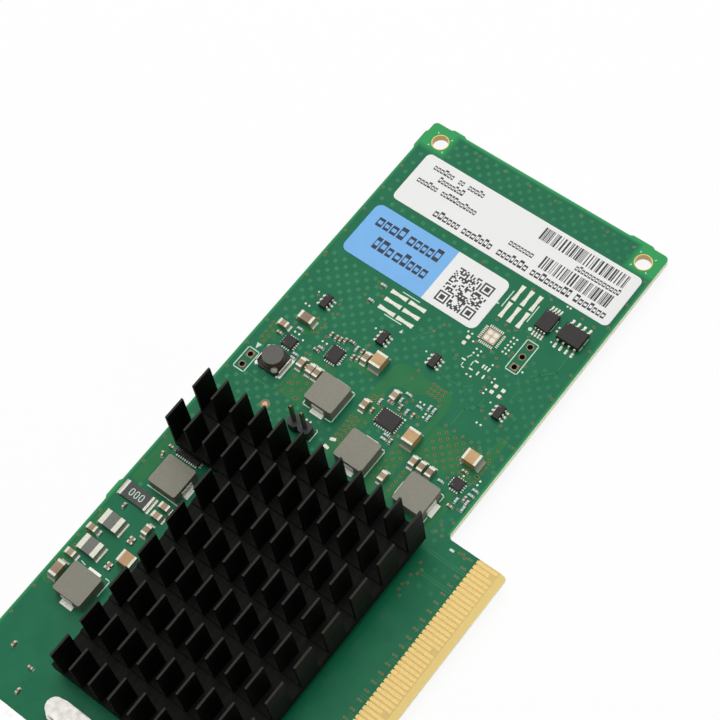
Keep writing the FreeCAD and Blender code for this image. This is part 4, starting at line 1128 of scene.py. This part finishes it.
class CARD_OT_lands(Operator):
    """Adds the small tinned lands and dots, and the land pattern of a missing chip"""
    bl_idname = "card.lands"
    bl_label = "Small Lands"

    def execute(self, context):
        grow_dots("probe_dots", PROBE_DOTS, 0.22, LAND_UP, 10, "tin", "solder")
        grow_dots("pin_dots", PIN_DOTS, 0.21, DOT_UP, 10, "board_ink", "white_label")
        paddle = next(solid for solid in islands("option_lands")
                      if abs(solid.size.x - solid.size.y) < 0.01)
        rows = [at(x, y, (0.78, 0.78, LAND_UP)) for x, y in SQUARE_LANDS]
        rows += [at(x, y, (0.9, 0.34, LAND_UP), turn) for x, y, turn in BAR_LANDS]
        rows += [at(x, y, (1.2, 0.65, LAND_UP), turn) for x, y, turn in BLOB_LANDS]
        rows += self.missing_chip(*paddle.middle.xy)
        grow_parts("small_lands", block(0.14), rows, "tin", "solder")
        top = paddle.high.z
        outline = corners(*paddle.low.xy, *paddle.high.xy)
        make_piece("paddle_copper", plates([outline], top, 0.01), "paddle_copper",
                   "gold_plate")
        x, y, _ = paddle.middle
        pools = [at(x + a, y + b, (1.05, 1.05, 0.06), z=top)
                 for a in (-0.62, 0.62) for b in (-0.62, 0.62)]
        grow_parts("paddle_solder", block(0.28), pools, "tin", "solder")
        return {"FINISHED"}

    def missing_chip(self, x, y):
        """Eight lands on each side of a bare paddle."""
        rows = []
        for i in range(8):
            step = (i - 3.5) * MISSING_PITCH
            for dx, dy, turn, length in ((step, 1.92, 90, 0.62), (step, -2.08, 90, 0.5),
                                         (-2.0, step, 0, 0.6), (1.85, step, 0, 0.6)):
                rows.append(at(x + dx, y + dy, (length, 0.22, LAND_UP), turn))
        return rows


class CARD_OT_small_parts(Operator):
    """Places the smallest resistors and capacitors with their ends"""
    bl_idname = "card.small_parts"
    bl_label = "Small Parts"

    def execute(self, context):
        grow_chips("small_resistors", SMALL_RESISTORS, 0.36, "pale_resistor",
                   "white_label")
        grow_chips("small_capacitors", SMALL_CAPACITORS, 0.5, "brown_ceramic",
                   "capacitor_ceramic")
        bodies = [at(x, y, (1.5, 0.7, 0.42)) for x, y in RESISTOR_ROWS]
        grow_parts("resistor_rows", block(0.05), bodies, "brown_ceramic",
                   "capacitor_ceramic")
        ends = [at(x + dx, y + dy, (0.6, 0.36, 0.44)) for x, y in RESISTOR_ROWS
                for dx in (-0.45, 0.45) for dy in (-0.42, 0.42)]
        grow_parts("resistor_row_ends", block(0.1), ends, "tin", "solder")
        return {"FINISHED"}


class CARD_OT_solder(Operator):
    """Runs solder toes out from every terminal and cones round every pin"""
    bl_idname = "card.solder"
    bl_label = "Solder Joints"

    def execute(self, context):
        grow_parts("solder_toes", solder_toe, self.toes(), "tin", "solder")
        grow_parts("coil_lands", block(0.04), self.coil_lands(), "land_solder", "solder")
        grow_parts("part_lands", block(0.1), self.lead_lands(), "tin", "solder")
        cones = [at(*pin.middle.xy, (radius, radius, -0.7), z=BACK)
                 for node, radius in (("jack_tails", 0.62), ("header_pins", 0.75))
                 for pin in islands(node)]
        grow_parts("solder_cones", solder_cone, cones, "tin", "solder")
        return {"FINISHED"}

    def toes(self):
        """Solder that runs out from the outer face of every end."""
        rows = []
        for ends, bodies in (("ceramic_ends", "ceramic_capacitors"),
                             ("bulk_ends", "bulk_capacitors"),
                             ("bead_ends", "ferrite_beads"),
                             ("jumper_ends", "jumper_link")):
            bodies = islands(bodies)
            for end in islands(ends):
                away = end.middle - nearest(bodies, end.middle).middle
                i = 0 if abs(away.x) > abs(away.y) else 1
                reach = Vector((0, 0, 0))
                reach[i] = math.copysign(end.size[i] / 2, away[i])
                rows.append(at(*(end.middle + reach).xy,
                               (0.62, end.size[1 - i] * 1.04, end.size.z / 2),
                               math.degrees(math.atan2(reach.y, reach.x))))
        return rows

    def coil_lands(self):
        """Tinned lands round the coil strips and the drum inductor's clips."""
        rows = []
        for node, along, across in (("coil_terminals", 0.1, 0.9),
                                    ("drum_clips", 1.0, 0.7)):
            for strip in islands(node):
                x, y, _ = strip.size
                more = (along, across) if x > y else (across, along)
                rows.append(at(*strip.middle.xy, (x + more[0], y + more[1], COIL_LAND_UP)))
        return rows

    def lead_lands(self):
        """Tinned lands under the feet of the leaded chips."""
        rows, chips = [], islands("leaded_chips")
        for lead in islands("chip_leads"):
            i = 0 if lead.size.x > lead.size.y else 1
            foot, out = (1.2, 0.5) if lead.size[i] > LONG_LEAD else (0.75, 0.12)
            spot, size = list(lead.middle.xy), [side + 0.1 for side in lead.size.xy]
            if spot[i] > nearest(chips, lead.middle).middle[i]:
                spot[i] = lead.high[i] - foot / 2 + out
            else:
                spot[i] = lead.low[i] + foot / 2 - out
            size[i] = foot
            rows.append(at(*spot, (*size, LEAD_LAND_UP)))
        return rows


class CARD_OT_packages(Operator):
    """Adds leadless ends, pin marks, the link's noughts and the drum's solder"""
    bl_idname = "card.packages"
    bl_label = "Package Details"

    def execute(self, context):
        chips = islands("leadless_chips")
        rows = [row for chip in chips for row in self.ends(chip)]
        grow_parts("leadless_ends", block(0.1), rows, "land_solder", "solder")
        thick = 0.01
        marks = [(chip.low.x + 0.45, chip.high.y - 0.45, chip.high.z - thick / 2)
                 for chip in chips]
        marks += [(chip.high.x - 0.5, chip.high.y - 0.45, chip.high.z - thick / 2)
                  for chip in islands("leaded_chips")]
        grow_dots("pin_marks", marks, 0.16, thick, 12, "pin_dimple", "chip_epoxy")
        link = boxed(*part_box("jumper_link"))
        noughts = [at(link.middle.x, link.middle.y + step, (1.55, 0.85, 0.015),
                      z=link.high.z) for step in (-1.15, 0, 1.15)]
        grow_parts("link_zeros", zero_ring, noughts, "board_ink", "white_label")
        drum = boxed(*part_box("drum_carrier"))
        lugs = [at(x, y, (1.2, 1.3, 0.95), LUG_TURN, drum.high.z)
                for x, y in ((drum.low.x + 0.75, drum.low.y + 1.0),
                             (drum.high.x - 0.75, drum.high.y - 1.0))]
        grow_parts("drum_lugs", block(0.3), lugs, "tin", "solder")
        return {"FINISHED"}

    def ends(self, chip):
        """Tinned ends along all four sides of a leadless chip."""
        rows = []
        for i, size in ((0, (0.24, 0.86, 0.1)), (1, (0.86, 0.24, 0.1))):
            count = int(chip.size[i] / LEADLESS_PITCH)
            for n in range(count):
                for corner in (chip.low, chip.high):
                    spot = list(corner.xy)
                    spot[i] = chip.middle[i] + (n - (count - 1) / 2) * LEADLESS_PITCH
                    rows.append(at(*spot, size))
        return rows


class CARD_OT_labels(Operator):
    """Prints plain frames, stripes and cells on the two labels"""
    bl_idname = "card.labels"
    bl_label = "Label Print"

    def execute(self, context):
        look = context.scene.label_look
        if not look.show_print:
            return {"FINISHED"}
        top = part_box("identity_label")[1][2] / MM
        titles = [(92.4, start, end) for start, end in TITLE_WORDS]
        for name, lines, tall, ink, slot in (
                ("title_words", titles, 2.1, "grey_print", "white_label"),
                ("fine_words", DATE_LINES + NUMBER_LINES, 1.6, "grey_print", "white_label"),
                ("notice_words", NOTICE_WORDS, 3.3, "navy_print", "blue_label")):
            rows = self.words(look.seed + 2, lines, tall, top)
            grow_parts(name, letter_block, rows, ink, slot)
        grow_parts("stripes", block(0.02), self.stripes(look.seed, top), "grey_print",
                   "white_label")
        grow_parts("cells", block(0.02), self.cells(look.seed + 1, top), "grey_print",
                   "white_label")
        return {"FINISHED"}

    def words(self, seed, lines, tall, top):
        """Words of plain frames, some of them taller, which spell nothing."""
        rng = random.Random(seed)
        rows = []
        for x, start, end in lines:
            y = start
            while y < end - 0.2 * tall:
                wide = tall * rng.choice((0.34, 0.38, 0.44))
                rise = tall * rng.choice((0.62, 0.62, 0.62, 0.86))
                rows.append(at(x + (rise - 0.62 * tall) / 2, y + wide / 2,
                               (rise, wide, PRINT_UP), z=top))
                y += wide + 0.1 * tall
        return rows

    def stripes(self, seed, top):
        """Fields of stripes of random width, which spell nothing."""
        rng = random.Random(seed)
        rows = []
        for x0, x1, y, end in BAR_FIELDS:
            while y < end:
                wide = rng.choice((0.13, 0.13, 0.26, 0.4))
                rows.append(at((x0 + x1) / 2, y + wide / 2, (x1 - x0, wide, PRINT_UP),
                               z=top))
                y += wide + rng.choice((0.14, 0.14, 0.28, 0.42))
        return rows

    def cells(self, seed, top):
        """A square of random cells with three framed corners, which holds no data."""
        rng = random.Random(seed)
        x0, y0, x1, _ = CODE_AREA
        step = (x1 - x0) / CODE_CELLS
        last = CODE_CELLS - 7
        rows = []
        for i in range(CODE_CELLS):
            for j in range(CODE_CELLS):
                local = [(i - a, j - b) for a, b in ((0, 0), (0, last), (last, 0))
                         if -1 <= i - a <= 7 and -1 <= j - b <= 7]
                if local:
                    edge = max(abs(local[0][0] - 3), abs(local[0][1] - 3))
                    dark = edge == 3 or edge <= 1
                else:
                    dark = rng.random() < 0.5
                if dark:
                    rows.append(at(x0 + (i + 0.5) * step, y0 + (j + 0.5) * step,
                                   (step * 0.99, step * 0.99, PRINT_UP), z=top))
        return rows


class CARD_OT_back(Operator):
    """Puts the decoupling parts and the vias' other ends on the solder side"""
    bl_idname = "card.back"
    bl_label = "Solder Side"

    def execute(self, context):
        x, y, pitch, count = BACK_GRID
        steps = [(i - (count - 1) / 2) * pitch for i in range(count)]
        table = [(x + dx, y + dy, 90 * ((i + j) % 2)) for i, dx in enumerate(steps)
                 for j, dy in enumerate(steps)]
        grow_chips("back_capacitors", table, -0.5, "brown_ceramic", "capacitor_ceramic",
                   BACK)
        grow_rings("back_vias", via_places(), 0.26, BACK, -1)
        return {"FINISHED"}


class CARD_OT_stage(Operator):
    """Sets up the floor, the soft lights, the room and the camera"""
    bl_idname = "card.stage"
    bl_label = "Stage"

    def execute(self, context):
        look = context.scene.stage_look
        self.floor(look)
        middle = Vector((0.03, 0.035, 0))
        for name, place, size, share in (("overhead", (0.12, 0.12, 0.75), 0.9, 1.0),
                                         ("back", (0.5, 0.4, 0.4), 0.5, 0.25),
                                         ("front", (-0.15, -0.6, 0.3), 0.4, 0.17)):
            light = bpy.data.lights.new(name, "AREA")
            light.size = size
            light.energy = look.key_power * share
            aim = middle - Vector(place)
            self.stand(name, light, place, aim.to_track_quat("-Z", "Y").to_euler())
        context.scene.world = self.room(look)
        camera = bpy.data.cameras.new("camera")
        camera.lens = look.lens
        camera.sensor_width = 36
        camera.clip_start = 0.01
        context.scene.camera = self.stand("camera", camera, look.camera_at,
                                          look.camera_turn)
        context.scene.view_settings.view_transform = "Standard"
        return {"FINISHED"}

    def stand(self, name, data, place=(0, 0, 0), turn=(0, 0, 0)):
        holder = bpy.data.objects.new(name, data)
        holder.location = place
        holder.rotation_euler = turn
        bpy.context.collection.objects.link(holder)
        return holder

    def floor(self, look):
        """A pale floor that is white to the camera, save in the card's shade."""
        mesh = bpy.data.meshes.new("floor")
        low = CAD_BOX[0][2]
        outline = corners(-FLOOR_REACH, -FLOOR_REACH, FLOOR_REACH, FLOOR_REACH)
        mesh.from_pydata([(x, y, low) for x, y in outline], [], [(0, 1, 2, 3)])
        material = bpy.data.materials.new("pale_floor")
        material.use_nodes = True
        tree = material.node_tree
        shader = tree.nodes["Principled BSDF"]
        shader.inputs["Roughness"].default_value = 0.9
        shader.inputs["Base Color"].default_value = (0.95, 0.95, 0.95, 1)
        glow = put(tree, "ShaderNodeEmission", {"Color": (1, 1, 1, 1), "Strength": 1.0})
        path = put(tree, "ShaderNodeLightPath").outputs
        seen = run_through(tree, "MAXIMUM", [path["Is Camera Ray"], path["Is Glossy Ray"],
                                             path["Is Transmission Ray"]])
        x, y, _ = position(tree)
        x0, y0, x1, y1 = SHADE
        inside = run_through(tree, "MINIMUM", [past(tree, x, x0), past(tree, x1, x),
                                               past(tree, y, y0), past(tree, y1, y)])
        lit = put(tree, "ShaderNodeMapRange",
                  {"Value": inside, "From Min": 0.0, "From Max": SHADE_RAMP * MM,
                   "To Min": 1.0, "To Max": 0.0})
        share = run_through(tree, "MULTIPLY", [seen, lit.outputs[0], look.floor_white])
        mixed = put(tree, "ShaderNodeMixShader", {0: share, 1: shader.outputs[0],
                                                  2: glow.outputs[0]})
        tree.links.new(mixed.outputs[0], tree.nodes["Material Output"].inputs["Surface"])
        mesh.materials.append(material)
        self.stand("floor", mesh)

    def room(self, look):
        """Even light all round, and a backdrop as white as the floor to the camera."""
        world = bpy.data.worlds.new("room")
        world.use_nodes = True
        tree = world.node_tree
        back = tree.nodes["Background"].inputs
        back["Color"].default_value = (1, 1, 1, 1)
        path = put(tree, "ShaderNodeLightPath")
        strength = put(tree, "ShaderNodeMapRange",
                       {"Value": path.outputs["Is Camera Ray"],
                        "To Min": look.world_light, "To Max": look.floor_white})
        tree.links.new(strength.outputs[0], back["Strength"])
        return world


class CARD_PT_panel(Panel):
    """Lists the steps and their settings"""
    bl_label = "Network Card"
    bl_idname = "CARD_PT_panel"
    bl_space_type = "VIEW_3D"
    bl_region_type = "UI"
    bl_category = "Network Card"

    def draw(self, context):
        column = self.layout.column()
        for group in SETTINGS:
            settings = getattr(context.scene, group)
            for name in settings.bl_rna.properties.keys():
                if name not in ("rna_type", "name"):
                    column.prop(settings, name)
        for step in STEPS:
            column.operator(step)


SETTINGS = {"board_look": BoardLook, "part_look": PartLook, "metal_look": MetalLook,
            "label_look": LabelLook, "stage_look": StageLook}
OPERATORS = (CARD_OT_finishes, CARD_OT_sink_edge, CARD_OT_copper, CARD_OT_ink,
             CARD_OT_lands, CARD_OT_small_parts, CARD_OT_solder, CARD_OT_packages,
             CARD_OT_labels, CARD_OT_back, CARD_OT_stage)
STEPS = [operator.bl_idname for operator in OPERATORS]
CLASSES = (*SETTINGS.values(), *OPERATORS, CARD_PT_panel)


def register():
    for item in CLASSES:
        bpy.utils.register_class(item)
    for name, group in SETTINGS.items():
        setattr(bpy.types.Scene, name, PointerProperty(type=group))


def unregister():
    for name in SETTINGS:
        delattr(bpy.types.Scene, name)
    for item in reversed(CLASSES):
        bpy.utils.unregister_class(item)


def main():
    register()
    for step in STEPS:
        group, name = step.split(".")
        getattr(getattr(bpy.ops, group), name)()


if __name__ == "__main__":
    main()
